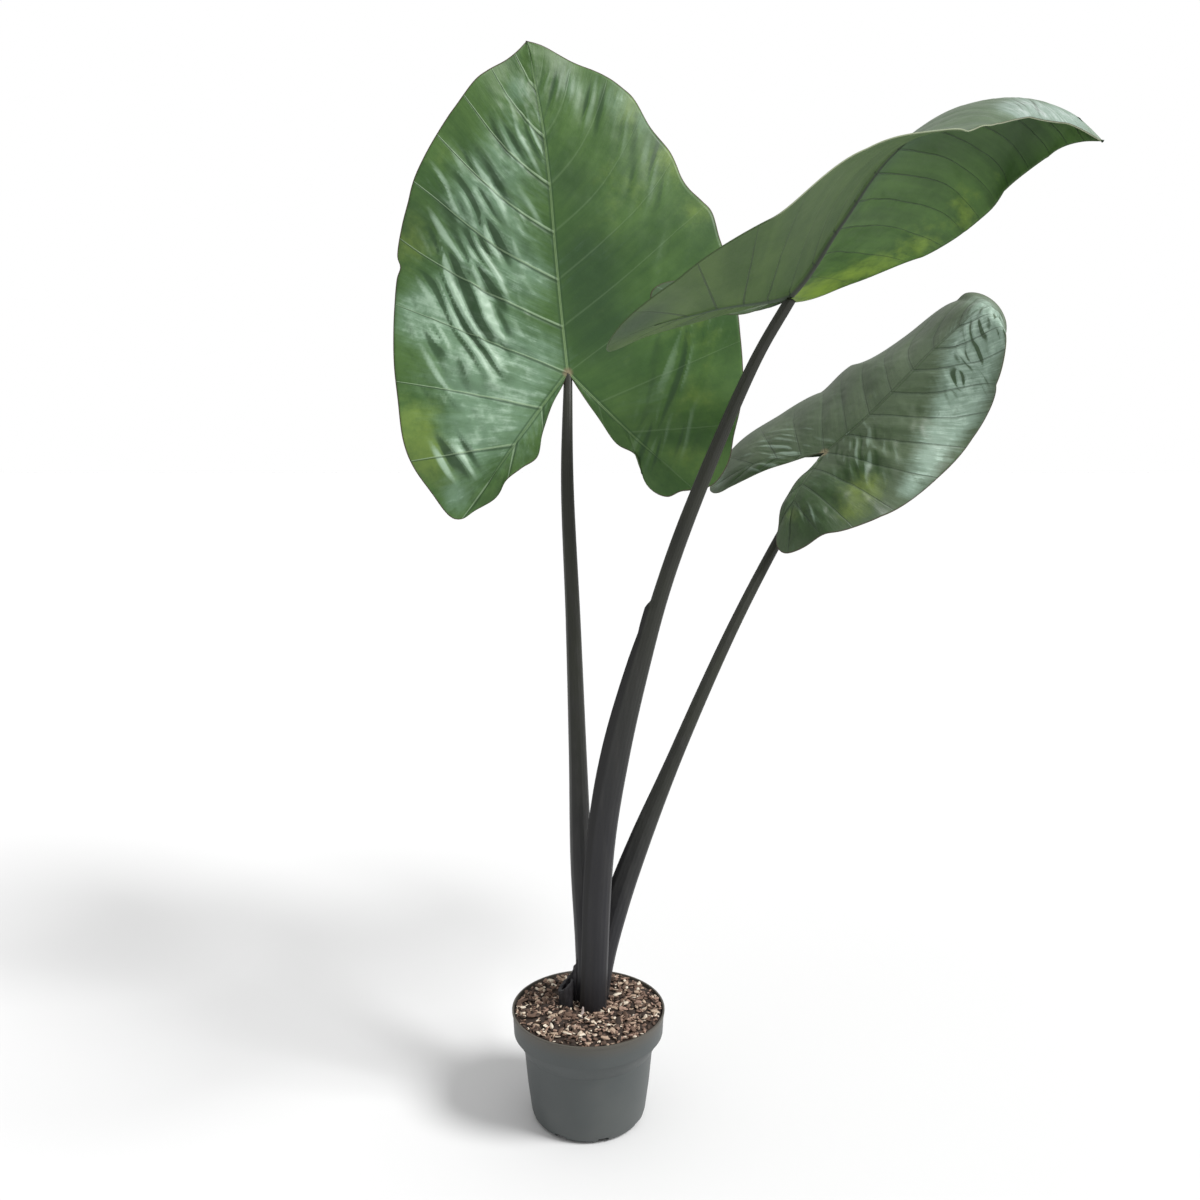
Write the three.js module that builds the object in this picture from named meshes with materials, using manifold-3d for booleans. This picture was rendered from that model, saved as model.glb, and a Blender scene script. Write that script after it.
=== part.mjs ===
// Giant taro in a nursery pot: three leaves on long leaf stalks, standing in a filled plastic pot.
// Millimetres, +Z up. The origin is the middle of the pot's underside, +X to the right, -Y to the front.
import * as THREE from 'three';
import Module from 'manifold-3d';

const wasm = await Module();
wasm.setup();

// Driving dimensions of the pot
const potHeight = 156;
const rimRadius = 105;
const collarRadius = 102.5;
const stepHeight = 92;
const stepRadius = 88;
const footRadius = 80;
const potWall = 2.2;
const notchCount = 8;
const notchWidth = 15;
const notchHeight = 8;

// Driving dimensions of the potting mix
const soilEdgeHeight = 150.5;
const soilHeap = 7;
const chipCount = 60;
const chipLength = 12;

// Driving dimensions of the plant
const bladeThickness = 1.5;
const midribHeight = 6;
const midribWidth = 5;
const veinDip = 1.6;
const veinsPerHalf = 7;
const gap = 0.35;

// One half of a leaf blade lying flat, in blade lengths: along the midrib from the leaf stalk joint
// (0) to the tip (1), and out from the midrib. Negative along values are the lobe beside the stalk.
const plainHalf = {
  edge: [
    [1, 0], [0.965, 0.03], [0.92, 0.085], [0.86, 0.165], [0.79, 0.238], [0.71, 0.31], [0.6, 0.382],
    [0.48, 0.432], [0.36, 0.472], [0.22, 0.493], [0.08, 0.512], [-0.06, 0.508], [-0.16, 0.492],
    [-0.25, 0.452], [-0.33, 0.412], [-0.385, 0.36], [-0.395, 0.31], [-0.375, 0.26], [-0.33, 0.22],
    [-0.27, 0.168], [-0.2, 0.118], [-0.13, 0.073], [-0.06, 0.04], [0, 0],
  ],
  shoulder: 9,
  lobeEnd: 15,
};
const tallLeftHalf = {
  edge: [
    [1, 0], [0.972, 0.034], [0.944, 0.078], [0.911, 0.146], [0.878, 0.199], [0.81, 0.267],
    [0.743, 0.323], [0.676, 0.371], [0.608, 0.41], [0.54, 0.433], [0.47, 0.46], [0.401, 0.484],
    [0.366, 0.48], [0.332, 0.495], [0.261, 0.507], [0.155, 0.516], [0.049, 0.525], [-0.059, 0.523],
    [-0.165, 0.517], [-0.237, 0.496], [-0.312, 0.455], [-0.387, 0.41], [-0.403, 0.373],
    [-0.383, 0.331], [-0.352, 0.263], [-0.303, 0.226], [-0.272, 0.173], [-0.242, 0.119],
    [-0.171, 0.095], [-0.1, 0.062], [-0.036, 0.018], [0, 0],
  ],
  shoulder: 14,
  lobeEnd: 22,
};
const tallRightHalf = {
  edge: [
    [1, 0], [0.984, 0.047], [0.96, 0.098], [0.943, 0.13], [0.907, 0.192], [0.871, 0.235],
    [0.835, 0.271], [0.799, 0.305], [0.725, 0.341], [0.65, 0.394], [0.574, 0.414], [0.536, 0.433],
    [0.496, 0.466], [0.456, 0.493], [0.378, 0.506], [0.306, 0.523], [0.18, 0.538], [0.061, 0.539],
    [-0.019, 0.54], [-0.095, 0.534], [-0.171, 0.513], [-0.257, 0.484], [-0.337, 0.458],
    [-0.398, 0.404], [-0.408, 0.342], [-0.409, 0.302], [-0.419, 0.261], [-0.397, 0.221],
    [-0.356, 0.195], [-0.28, 0.183], [-0.234, 0.127], [-0.154, 0.084], [-0.074, 0.04], [0, 0],
  ],
  shoulder: 15,
  lobeEnd: 24,
};

// The same half outline, made wider or narrower
const withSpread = (half, share) => ({
  ...half,
  edge: half.edge.map(([along, out]) => [along, out * share]),
});

// How each blade stands. There is a station at each of these places along the midrib, in blade lengths.
// Each station gives the midrib point, then in degrees the turn of the blade about its midrib, the
// lift of its left and right halves toward the upper side, and how much each half curls per length.
const stationPlaces = [-0.4, -0.2, 0, 0.2, 0.4, 0.6, 0.8, 0.9, 1];
const leaves = [
  {
    name: '1',
    length: 473,
    left: tallLeftHalf,
    right: tallRightHalf,
    wave: 5,
    waveCount: 5,
    stations: [
      { at: [-9, 180, 839], turn: 179, lift: [5, 10], curl: [-15, -14] },
      { at: [-21, 193, 931], turn: 177, lift: [7, 8], curl: [-14, -14] },
      { at: [-31, 208, 1026], turn: 177, lift: [7, 6], curl: [-14, -14] },
      { at: [-41, 221, 1119], turn: 178, lift: [5, 5], curl: [-14, -14] },
      { at: [-50, 231, 1214], turn: 178, lift: [3, 2], curl: [-15, -14] },
      { at: [-58, 238, 1308], turn: 174, lift: [7, -1], curl: [-14, -15] },
      { at: [-71, 243, 1402], turn: 171, lift: [11, -5], curl: [-13, -15] },
      { at: [-80, 247, 1449], turn: 169, lift: [12, -8], curl: [-13, -15] },
      { at: [-89, 252, 1495], turn: 167, lift: [13, -11], curl: [-13, -15] },
    ],
    stalk: {
      path: [[0, 8, 112], [-3, 17, 230], [-10, 38, 352], [-15, 68, 494], [-22, 112, 678], [-31, 165, 873]],
      widths: [30, 30, 30, 25, 21, 18, 12],
      sheath: [3, 4, 6, 3, 0, 0, 0],
      sheathAngle: 100,
    },
  },
  {
    name: '2',
    length: 475,
    left: plainHalf,
    right: plainHalf,
    wave: 2,
    waveCount: 6,
    stations: [
      { at: [67, -47, 1032], turn: -89, lift: [32, 1], curl: [3, 0] },
      { at: [154, -74, 1058], turn: -83, lift: [29, 8], curl: [-6, -9] },
      { at: [237, -86, 1099], turn: -78, lift: [22, 9], curl: [-15, -18] },
      { at: [296, -85, 1182], turn: -74, lift: [5, 0], curl: [-26, -30] },
      { at: [352, -82, 1259], turn: -75, lift: [-12, -15], curl: [-38, -43] },
      { at: [425, -90, 1307], turn: -76, lift: [-21, -22], curl: [-48, -54] },
      { at: [510, -109, 1310], turn: -79, lift: [-31, -33], curl: [-58, -65] },
      { at: [548, -122, 1291], turn: -83, lift: [-38, -42], curl: [-67, -76] },
      { at: [577, -135, 1259], turn: -88, lift: [-45, -52], curl: [-77, -87] },
    ],
    stalk: {
      path: [
        [8, -8, 112], [11, -10, 227], [21, -19, 396], [42, -27, 522], [69, -36, 643],
        [95, -43, 742], [132, -52, 851], [204, -66, 1025],
      ],
      widths: [32, 32, 30, 26, 22.5, 20, 18.5, 14, 13],
      sheath: [6, 6, 10, 14, 9, 0, 0, 0, 0],
      sheathAngle: 200,
    },
  },
  {
    name: '3',
    length: 400,
    left: withSpread(plainHalf, 0.9),
    right: withSpread(plainHalf, 0.75),
    wave: 3,
    waveCount: 6,
    stations: [
      { at: [238, 266, 805], turn: 200, lift: [-27, 50], curl: [-84, -144] },
      { at: [291, 266, 862], turn: 201, lift: [-23, 55], curl: [-87, -136] },
      { at: [357, 265, 910], turn: 198, lift: [-27, 49], curl: [-91, -131] },
      { at: [415, 257, 961], turn: 195, lift: [-35, 38], curl: [-93, -128] },
      { at: [473, 259, 1020], turn: 192, lift: [-39, 28], curl: [-94, -127] },
      { at: [531, 270, 1077], turn: 202, lift: [-40, 32], curl: [-94, -127] },
      { at: [596, 265, 1123], turn: 209, lift: [-33, 38], curl: [-92, -130] },
      { at: [622, 280, 1096], turn: 203, lift: [-30, 28], curl: [-88, -135] },
      { at: [625, 296, 1049], turn: 201, lift: [-35, 13], curl: [-85, -140] },
    ],
    stalk: {
      path: [
        [9, 16, 112], [20, 27, 203], [42, 49, 281], [72, 73, 360], [125, 114, 480],
        [207, 176, 645], [274, 223, 763],
      ],
      widths: [28, 30, 30, 27, 21, 17, 15, 12],
      sheath: [3, 5, 7, 5, 0, 0, 0, 0],
      sheathAngle: 190,
    },
  },
];

// A repeatable row of random numbers from 0 to 1
function randomSource(seed) {
  let state = seed;
  return () => {
    state = (state * 1664525 + 1013904223) % 4294967296;
    return state / 4294967296;
  };
}

// A smooth value through evenly spaced entries, at a place counted in entries from the first
function smoothValue(values, place) {
  const last = values.length - 1;
  const index = Math.min(Math.max(Math.floor(place), 0), last - 1);
  const before = index > 0 ? values[index - 1] : 2 * values[0] - values[1];
  const after = index < last - 1 ? values[index + 2] : 2 * values[last] - values[last - 1];
  const here = values[index];
  const next = values[index + 1];
  const f = place - index;
  const bend = 2 * before - 5 * here + 4 * next - after;
  const twist = 3 * here - before - 3 * next + after;
  return 0.5 * (2 * here + (next - before) * f + bend * f * f + twist * f * f * f);
}

// A smooth value through the stations, at a place along the blade
function stationValue(values, along) {
  const last = stationPlaces.length - 1;
  const spans = stationPlaces.slice(1).map((place, k) => place - stationPlaces[k]);
  const rises = spans.map((span, k) => (values[k + 1] - values[k]) / span);
  const slopes = spans.map((span, k) => (
    k === 0 ? rises[0] : (span * rises[k - 1] + spans[k - 1] * rises[k]) / (span + spans[k - 1])
  ));
  slopes.push(rises[last - 1]);
  let k = 0;
  while (k < last - 1 && along >= stationPlaces[k + 1]) {
    k += 1;
  }
  const f = (along - stationPlaces[k]) / spans[k];
  const rise = values[k + 1] - values[k];
  const start = slopes[k] * spans[k];
  const end = slopes[k + 1] * spans[k];
  return values[k] + start * f + (3 * rise - 2 * start - end) * f ** 2 + (start + end - 2 * rise) * f ** 3;
}

// The midrib point, its direction, and the two directions across it at a place along the blade
function midribFrame(leaf, along) {
  const pointAt = (where) => new THREE.Vector3(
    ...[0, 1, 2].map((axis) => stationValue(leaf.stations.map((one) => one.at[axis]), where)),
  );
  const point = pointAt(along);
  const direction = pointAt(along + 0.002).sub(pointAt(along - 0.002)).normalize();
  const back = new THREE.Vector3(0, 1, 0).addScaledVector(direction, -direction.y).normalize();
  const across = new THREE.Vector3().crossVectors(direction, back);
  const valueAt = (read) => stationValue(leaf.stations.map(read), along);
  return { point, across, back, valueAt };
}

// The point of the bent blade that lies at a flat place; out is negative on the left half
function bladePoint(leaf, along, out) {
  const { point, across, back, valueAt } = midribFrame(leaf, along);
  const side = out > 0 ? 1 : 0;
  const sign = out > 0 ? 1 : -1;
  const turn = THREE.MathUtils.degToRad(
    valueAt((one) => one.turn) + sign * valueAt((one) => one.lift[side]),
  );
  const curl = sign * THREE.MathUtils.degToRad(valueAt((one) => one.curl[side])) || 1e-6;
  const reach = Math.abs(out);
  const sideways = (Math.sin(turn + curl * reach) - Math.sin(turn)) / curl;
  const deep = (Math.cos(turn) - Math.cos(turn + curl * reach)) / curl;
  return point
    .addScaledVector(across, sign * sideways * leaf.length)
    .addScaledVector(back, sign * deep * leaf.length);
}

// The direction the upper side faces at the joint with the leaf stalk
function jointNormal(leaf) {
  const { across, back, valueAt } = midribFrame(leaf, 0);
  const turn = THREE.MathUtils.degToRad(valueAt((one) => one.turn));
  return across.multiplyScalar(-Math.sin(turn)).addScaledVector(back, Math.cos(turn));
}

// Sweep of one half blade: each line follows a side vein from the midrib, or from the rib of the lobe,
// out to the edge. The sweep value runs 0 to 1 down the midrib, to 2 out along the rib and to 3 back.
const ribReach = 0.74;
const sweepSteps = { midrib: 24, rib: 6 };
const outwardSteps = [0, 0.2, 0.4, 0.6, 0.8, 1];

function sweepValues() {
  const values = [];
  for (let k = 0; k <= sweepSteps.midrib; k += 1) {
    values.push(k / sweepSteps.midrib);
  }
  for (let k = 1; k <= 2 * sweepSteps.rib; k += 1) {
    values.push(1 + k / sweepSteps.rib);
  }
  return values;
}

function ribPlace(half, sweep) {
  if (sweep <= 1) {
    return [1 - sweep, 0];
  }
  const reach = ribReach * (sweep <= 2 ? sweep - 1 : 3 - sweep);
  return half.edge[half.lobeEnd].map((value) => value * reach);
}

function edgePlaces(half) {
  const curve = new THREE.SplineCurve(half.edge.map(([along, out]) => new THREE.Vector2(along, out)));
  const divisions = 20 * (half.edge.length - 1);
  const lengths = curve.getLengths(divisions);
  const total = lengths[divisions];
  const marks = [0, half.shoulder, half.lobeEnd, half.edge.length - 1].map((index) => lengths[20 * index]);
  return (sweep) => {
    const part = Math.min(Math.floor(sweep), 2);
    const length = marks[part] + (marks[part + 1] - marks[part]) * (sweep - part);
    const place = curve.getPointAt(Math.min(length / total, 1));
    return [place.x, place.y];
  };
}

// Height of the blade's own relief above its bent sheet: sunk side veins and a waved edge
function reliefHeight(leaf, sweep, outward, sign) {
  const swell = Math.sin(Math.PI * Math.min(outward * 1.1, 1));
  const veins = sweep <= 1 ? veinDip * swell * (0.5 - Math.cos(2 * Math.PI * veinsPerHalf * sweep)) : 0;
  const waves = Math.sin(Math.PI * leaf.waveCount * sweep + (sign > 0 ? 0.4 : 2.1));
  const fade = Math.min(sweep * 3, 1) * Math.min((3 - sweep) * 2, 1);
  return veins + leaf.wave * waves * outward ** 3 * fade;
}

// A closed body made from a sheet of triangles: both faces share the triangles, and the rim joins them
function sheetSolid(points, triangles, raise, drop, spread) {
  const count = points.length;
  const normals = points.map(() => new THREE.Vector3());
  const outward = points.map(() => new THREE.Vector3());
  const edges = new Set();
  const sidesOf = ([a, b, c]) => [[a, b], [b, c], [c, a]];
  for (const triangle of triangles) {
    const [a, b, c] = triangle;
    const first = points[b].clone().sub(points[a]);
    const second = points[c].clone().sub(points[a]);
    const face = first.cross(second);
    triangle.forEach((corner) => normals[corner].add(face));
    sidesOf(triangle).forEach(([from, to]) => edges.add(`${from} ${to}`));
  }
  normals.forEach((normal) => normal.normalize());
  const rim = triangles.flatMap(sidesOf).filter(([from, to]) => !edges.has(`${to} ${from}`));
  rim.forEach(([from, to]) => {
    const away = points[to].clone().sub(points[from]).cross(normals[from]).normalize();
    outward[from].add(away);
    outward[to].add(away);
  });
  const shifted = (height) => points.flatMap((point, corner) => {
    const moved = point.clone().addScaledVector(normals[corner], height(corner));
    moved.addScaledVector(outward[corner].normalize(), spread);
    return [moved.x, moved.y, moved.z];
  });
  const positions = [...shifted(raise), ...shifted((corner) => -drop(corner))];
  const index = triangles.flatMap(([a, b, c]) => [a, b, c, a + count, c + count, b + count]);
  rim.forEach(([from, to]) => index.push(from, from + count, to, to, from + count, to + count));
  const geometry = new THREE.BufferGeometry();
  geometry.setAttribute('position', new THREE.Float32BufferAttribute(positions, 3));
  geometry.setIndex(index);
  return geometry;
}

// One leaf blade; grown by a margin it is the tool that keeps its leaf stalk clear of it
function bladeGeometry(leaf, margin) {
  const points = [];
  const ribHeights = [];
  const triangles = [];
  const places = new Map();
  const sweeps = sweepValues();
  const vertexAt = (along, out, height, ribHeight) => {
    const key = `${Math.round(along * 1e5)} ${Math.round(out * 1e5)}`;
    if (!places.has(key)) {
      const step = out < 0 ? -1e-3 : 1e-3;
      const point = bladePoint(leaf, along, out);
      if (height !== 0) {
        const lengthwise = bladePoint(leaf, along + 1e-3, out).sub(point);
        const crosswise = bladePoint(leaf, along, out + step).sub(point).multiplyScalar(Math.sign(step));
        point.addScaledVector(crosswise.cross(lengthwise).normalize(), height);
      }
      places.set(key, points.length);
      points.push(point);
      ribHeights.push(ribHeight);
    }
    return places.get(key);
  };
  for (const sign of [-1, 1]) {
    const half = sign > 0 ? leaf.right : leaf.left;
    const edgeAt = edgePlaces(half);
    const rows = sweeps.map((sweep) => {
      const [ribAlong, ribOut] = ribPlace(half, sweep);
      const [edgeAlong, edgeOut] = edgeAt(sweep);
      const bow = sweep <= 1 ? 0.035 * Math.sin(Math.PI * sweep) : 0;
      const span = leaf.length * Math.hypot(edgeAlong - ribAlong, edgeOut - ribOut);
      const ridge = Math.min(midribWidth / span, 0.4);
      const steps = [0, ...outwardSteps.map((step) => ridge + (1 - ridge) * step)];
      return steps.map((outward) => {
        const along = ribAlong + (edgeAlong - ribAlong) * outward - bow * Math.sin(Math.PI * outward);
        const out = ribOut + (edgeOut - ribOut) * outward;
        const height = outward === 0 ? 0 : reliefHeight(leaf, sweep, outward, sign);
        const fall = sweep <= 1 ? 0.2 + 0.8 * sweep : 0.5 * Math.abs(2 - sweep);
        const ribHeight = outward === 0 ? midribHeight * fall : 0;
        return vertexAt(along, sign * out, height, ribHeight);
      });
    });
    for (let line = 0; line < rows.length - 1; line += 1) {
      for (let step = 0; step < outwardSteps.length; step += 1) {
        const near = [rows[line][step], rows[line + 1][step]];
        const far = [rows[line][step + 1], rows[line + 1][step + 1]];
        const quad = [[near[0], near[1], far[1]], [near[0], far[1], far[0]]];
        for (const [a, b, c] of quad) {
          if (a !== b && b !== c && a !== c) {
            triangles.push(sign > 0 ? [a, c, b] : [a, b, c]);
          }
        }
      }
    }
  }
  const thin = bladeThickness / 2 + margin;
  return sheetSolid(points, triangles, () => thin, (index) => thin + ribHeights[index], margin);
}

// A closed body through rings of points, with a middle point at each end
function ringSolid(rings) {
  const size = rings[0].length;
  const middle = (ring) => ring.reduce((sum, one) => sum.add(one), new THREE.Vector3()).divideScalar(size);
  const points = [...rings.flat(), middle(rings[0]), middle(rings[rings.length - 1])];
  const positions = points.flatMap((point) => [point.x, point.y, point.z]);
  const startCap = rings.length * size;
  const index = [];
  for (let k = 0; k < size; k += 1) {
    const next = (k + 1) % size;
    for (let ring = 0; ring < rings.length - 1; ring += 1) {
      const low = ring * size;
      const high = low + size;
      index.push(low + k, low + next, high + next, low + k, high + next, high + k);
    }
    const top = (rings.length - 1) * size;
    index.push(startCap, next, k, startCap + 1, top + k, top + next);
  }
  const geometry = new THREE.BufferGeometry();
  geometry.setAttribute('position', new THREE.Float32BufferAttribute(positions, 3));
  geometry.setIndex(index);
  return geometry;
}

// One leaf stalk: a tapering round stem whose lower part widens into a sheath with a thin edge
const stalkRings = 22;
const stalkSides = 18;

function stalkGeometry(leaf, margin) {
  const { path, widths, sheath, sheathAngle } = leaf.stalk;
  const joint = new THREE.Vector3(...leaf.stations[2].at);
  const normal = jointNormal(leaf);
  const end = joint.clone().addScaledVector(normal, -widths[widths.length - 1] / 2);
  const curve = new THREE.CatmullRomCurve3([...path.map((point) => new THREE.Vector3(...point)), end]);
  const rings = [];
  for (let k = 0; k <= stalkRings; k += 1) {
    const place = k / stalkRings;
    const entry = place * (widths.length - 1);
    const radius = smoothValue(widths, entry) / 2;
    const edge = Math.max(smoothValue(sheath, entry), 0);
    const direction = curve.getTangent(place);
    const past = (k === stalkRings ? margin : 0) - (k === 0 ? margin : 0);
    const centre = curve.getPoint(place).addScaledVector(direction, past);
    const front = new THREE.Vector3(0, -1, 0).addScaledVector(direction, direction.y).normalize();
    const side = new THREE.Vector3().crossVectors(direction, front);
    const ring = [];
    for (let j = 0; j < stalkSides; j += 1) {
      const angle = THREE.MathUtils.degToRad(sheathAngle) + (2 * Math.PI * j) / stalkSides;
      const reach = radius + margin + (j === 0 ? edge : 0) + (j === 1 || j === stalkSides - 1 ? edge * 0.3 : 0);
      const point = centre.clone()
        .addScaledVector(side, Math.cos(angle) * reach)
        .addScaledVector(front, -Math.sin(angle) * reach);
      ring.push(point);
    }
    rings.push(ring);
  }
  return ringSolid(rings);
}

function toSolid(geometry) {
  const vertices = [];
  const seen = new Map();
  const position = geometry.getAttribute('position');
  const lookup = [];
  for (let k = 0; k < position.count; k += 1) {
    const values = [position.getX(k), position.getY(k), position.getZ(k)];
    const key = values.map((value) => Math.round(value * 1e4)).join(' ');
    if (!seen.has(key)) {
      seen.set(key, vertices.length / 3);
      vertices.push(...values);
    }
    lookup.push(seen.get(key));
  }
  const index = geometry.getIndex() ? [...geometry.getIndex().array] : lookup.map((_, k) => k);
  const triangles = [];
  for (let k = 0; k < index.length; k += 3) {
    const [a, b, c] = [index[k], index[k + 1], index[k + 2]].map((one) => lookup[one]);
    if (a !== b && b !== c && a !== c) {
      triangles.push(a, b, c);
    }
  }
  return new wasm.Manifold(new wasm.Mesh({
    numProp: 3,
    vertProperties: new Float32Array(vertices),
    triVerts: new Uint32Array(triangles),
  }));
}

// Keeps the largest piece of a cut solid
function largestPiece(solid) {
  return solid.decompose().sort((a, b) => b.volume() - a.volume())[0];
}

function toGeometry(solid) {
  const mesh = solid.getMesh();
  const geometry = new THREE.BufferGeometry();
  const positions = [];
  for (let k = 0; k < mesh.numVert; k += 1) {
    const start = k * mesh.numProp;
    positions.push(...mesh.vertProperties.slice(start, start + 3));
  }
  geometry.setAttribute('position', new THREE.Float32BufferAttribute(positions, 3));
  geometry.setIndex([...mesh.triVerts]);
  geometry.computeVertexNormals();
  return geometry;
}

function lathe(profile, segments) {
  const geometry = new THREE.LatheGeometry(profile.map(([r, z]) => new THREE.Vector2(r, z)), segments);
  return geometry.rotateX(Math.PI / 2);
}

// The pot: a moulded shell with a plain collar above a step, a rounded foot and drain notches
function potSolid() {
  const outer = [
    [0, 0], [14, 0], [16, 3], [64, 3], [66, 0], [71, 0], [75.5, 2], [78.6, 6], [footRadius, 12],
    [stepRadius, stepHeight], [91, stepHeight + 3], [101, 116], [collarRadius, 121],
    [rimRadius - 1, potHeight - 4], [rimRadius, potHeight - 3], [rimRadius, potHeight],
  ];
  const inner = [
    [rimRadius - potWall, potHeight], [rimRadius - 3, potHeight - 4], [collarRadius - potWall, 121],
    [101 - potWall, 116.4], [91 - potWall, stepHeight + 4], [stepRadius - potWall, stepHeight],
    [footRadius - potWall, 12.5], [75, 6.6], [70, 5.4], [0, 5.4],
  ];
  let solid = toSolid(lathe([...outer, ...inner], 48));
  for (let k = 0; k < notchCount; k += 1) {
    const notch = new THREE.BoxGeometry(22, notchWidth, notchHeight * 2);
    notch.translate(79, 0, 0).rotateZ((2 * Math.PI * (k + 0.35)) / notchCount);
    solid = solid.subtract(toSolid(notch));
  }
  return solid;
}

// The potting mix: a heaped, uneven filling with bark and husk chips lying in its surface
function soilSolid() {
  const random = randomSource(11);
  const rings = 8;
  const sides = 40;
  const edgeRadius = rimRadius - 4;
  const surfaceHeight = (x, y) => {
    const far = Math.min(Math.hypot(x, y) / edgeRadius, 1);
    const heap = soilHeap * (1 - far ** 4);
    return soilEdgeHeight + heap + 1.6 * Math.sin(x / 9 + 1) * Math.cos(y / 8) * (1 - far ** 6);
  };
  const wall = [[72, 6.9], [footRadius - 3, 13.4], [stepRadius - 2.9, 92], [88, 96.6], [97.5, 117]];
  const lowRings = wall.map(([radius, height]) => ({ radius, height: () => height, rough: 0 }));
  lowRings.push({ radius: edgeRadius - 2, height: () => 122, rough: 0 });
  const topRings = [];
  for (let k = 0; k < rings; k += 1) {
    topRings.push({ radius: edgeRadius * (1 - k / rings), height: surfaceHeight, rough: k > 0 ? 2.6 : 0.8 });
  }
  const body = ringSolid([...lowRings, ...topRings].map(({ radius, height, rough }) => {
    const ring = [];
    for (let j = 0; j < sides; j += 1) {
      const angle = (2 * Math.PI * j) / sides;
      const x = radius * Math.cos(angle);
      const y = radius * Math.sin(angle);
      ring.push(new THREE.Vector3(x, y, height(x, y) + rough * (random() - 0.5)));
    }
    return ring;
  }));
  let solid = toSolid(body);
  for (let k = 0; k < chipCount; k += 1) {
    const length = chipLength * (0.6 + 0.7 * random());
    const chip = new THREE.BoxGeometry(length, length * (0.4 + 0.3 * random()), 2.5 + 3 * random());
    const far = 93 * Math.sqrt(random());
    const angle = 2 * Math.PI * random();
    const x = far * Math.cos(angle);
    const y = far * Math.sin(angle);
    chip.rotateX(0.9 * (random() - 0.5)).rotateY(0.9 * (random() - 0.5)).rotateZ(Math.PI * random());
    chip.translate(x, y, surfaceHeight(x, y) + 0.6 + random());
    solid = solid.add(toSolid(chip));
  }
  return solid;
}

// The stub of an old leaf base: a short curved sheath open to the front, cut off unevenly
function stubGeometry(margin) {
  const outer = 14.5 + margin;
  const inner = 9 - margin;
  const openFrom = -1.25 + margin / outer;
  const openTo = 0.35 - margin / outer;
  const shape = new THREE.Shape();
  shape.absarc(0, 0, outer, openTo, openFrom + 2 * Math.PI, false);
  shape.absarc(0, 0, inner, openFrom + 2 * Math.PI, openTo, true);
  const geometry = new THREE.ExtrudeGeometry(shape, {
    depth: 66 + 2 * margin, steps: 3, bevelEnabled: false, curveSegments: 12,
  });
  const position = geometry.getAttribute('position');
  for (let k = 0; k < position.count; k += 1) {
    const height = position.getZ(k) / 66;
    const spread = 1 + 0.12 * height;
    const uneven = height > 0.9 ? 9 * Math.sin(position.getX(k) / 7 + 0.6) : 0;
    position.setXYZ(k, position.getX(k) * spread, position.getY(k) * spread, position.getZ(k) + uneven);
  }
  return geometry.translate(-29, 4, 132 - margin);
}

// A pale root tip that comes out of the mix at the foot of the stalks
function rootGeometry(margin) {
  const path = new THREE.CatmullRomCurve3([
    new THREE.Vector3(-11, -37, 146), new THREE.Vector3(-9, -33, 157),
    new THREE.Vector3(-7.5, -30.5, 165), new THREE.Vector3(-7, -31, 172),
  ]);
  const rings = [];
  for (let k = 0; k <= 6; k += 1) {
    const centre = path.getPoint(k / 6);
    const radius = 2.3 * (1 - 0.6 * (k / 6) ** 3) + margin;
    const ring = [];
    for (let j = 0; j < 8; j += 1) {
      const angle = (2 * Math.PI * j) / 8;
      ring.push(centre.clone().add(new THREE.Vector3(Math.cos(angle) * radius, Math.sin(angle) * radius, 0)));
    }
    rings.push(ring);
  }
  return ringSolid(rings);
}

const materials = {
  pot: { color: 0x606463, roughness: 0.55, metalness: 0 },
  soil: { color: 0x6b5440, roughness: 0.95, metalness: 0 },
  stalk: { color: 0x3f403f, roughness: 0.42, metalness: 0 },
  blade: { color: 0x4f7045, roughness: 0.4, metalness: 0 },
  stub: { color: 0x3a383c, roughness: 0.6, metalness: 0 },
  root: { color: 0xb9a9a6, roughness: 0.6, metalness: 0 },
};

const plant = new THREE.Group();

function addPart(name, solid, material) {
  const mesh = new THREE.Mesh(toGeometry(solid), new THREE.MeshStandardMaterial(materials[material]));
  mesh.name = name;
  plant.add(mesh);
}

// Leaf stalks in the order 2, 1, 3: each is cut clear of the stalks before it and of every blade
const blades = leaves.map((leaf) => toSolid(bladeGeometry(leaf, 0)));
const grownBlades = leaves.map((leaf) => toSolid(bladeGeometry(leaf, 2 * gap)));
const stalks = [];
const grownStalks = [];
for (const order of [1, 0, 2]) {
  let solid = toSolid(stalkGeometry(leaves[order], 0));
  grownStalks.forEach((other) => {
    solid = solid.subtract(other);
  });
  solid = solid.subtract(grownBlades[order]);
  stalks[order] = largestPiece(solid);
  grownStalks.push(toSolid(stalkGeometry(leaves[order], gap)));
}

let stub = toSolid(stubGeometry(0));
grownStalks.forEach((other) => {
  stub = stub.subtract(other);
});
stub = largestPiece(stub);
const root = toSolid(rootGeometry(0));

let soil = soilSolid();
[...grownStalks, toSolid(stubGeometry(gap)), toSolid(rootGeometry(gap))].forEach((other) => {
  soil = soil.subtract(other);
});

addPart('nursery_pot', potSolid(), 'pot');
addPart('potting_mix', largestPiece(soil), 'soil');
leaves.forEach((leaf, order) => {
  addPart(`leaf_stalk_${leaf.name}`, stalks[order], 'stalk');
  addPart(`leaf_blade_${leaf.name}`, blades[order], 'blade');
});
addPart('old_leaf_base', stub, 'stub');
addPart('root_tip', root, 'root');

export default plant;
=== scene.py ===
import math
import random

import bpy
import numpy as np
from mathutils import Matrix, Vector, noise


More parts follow.
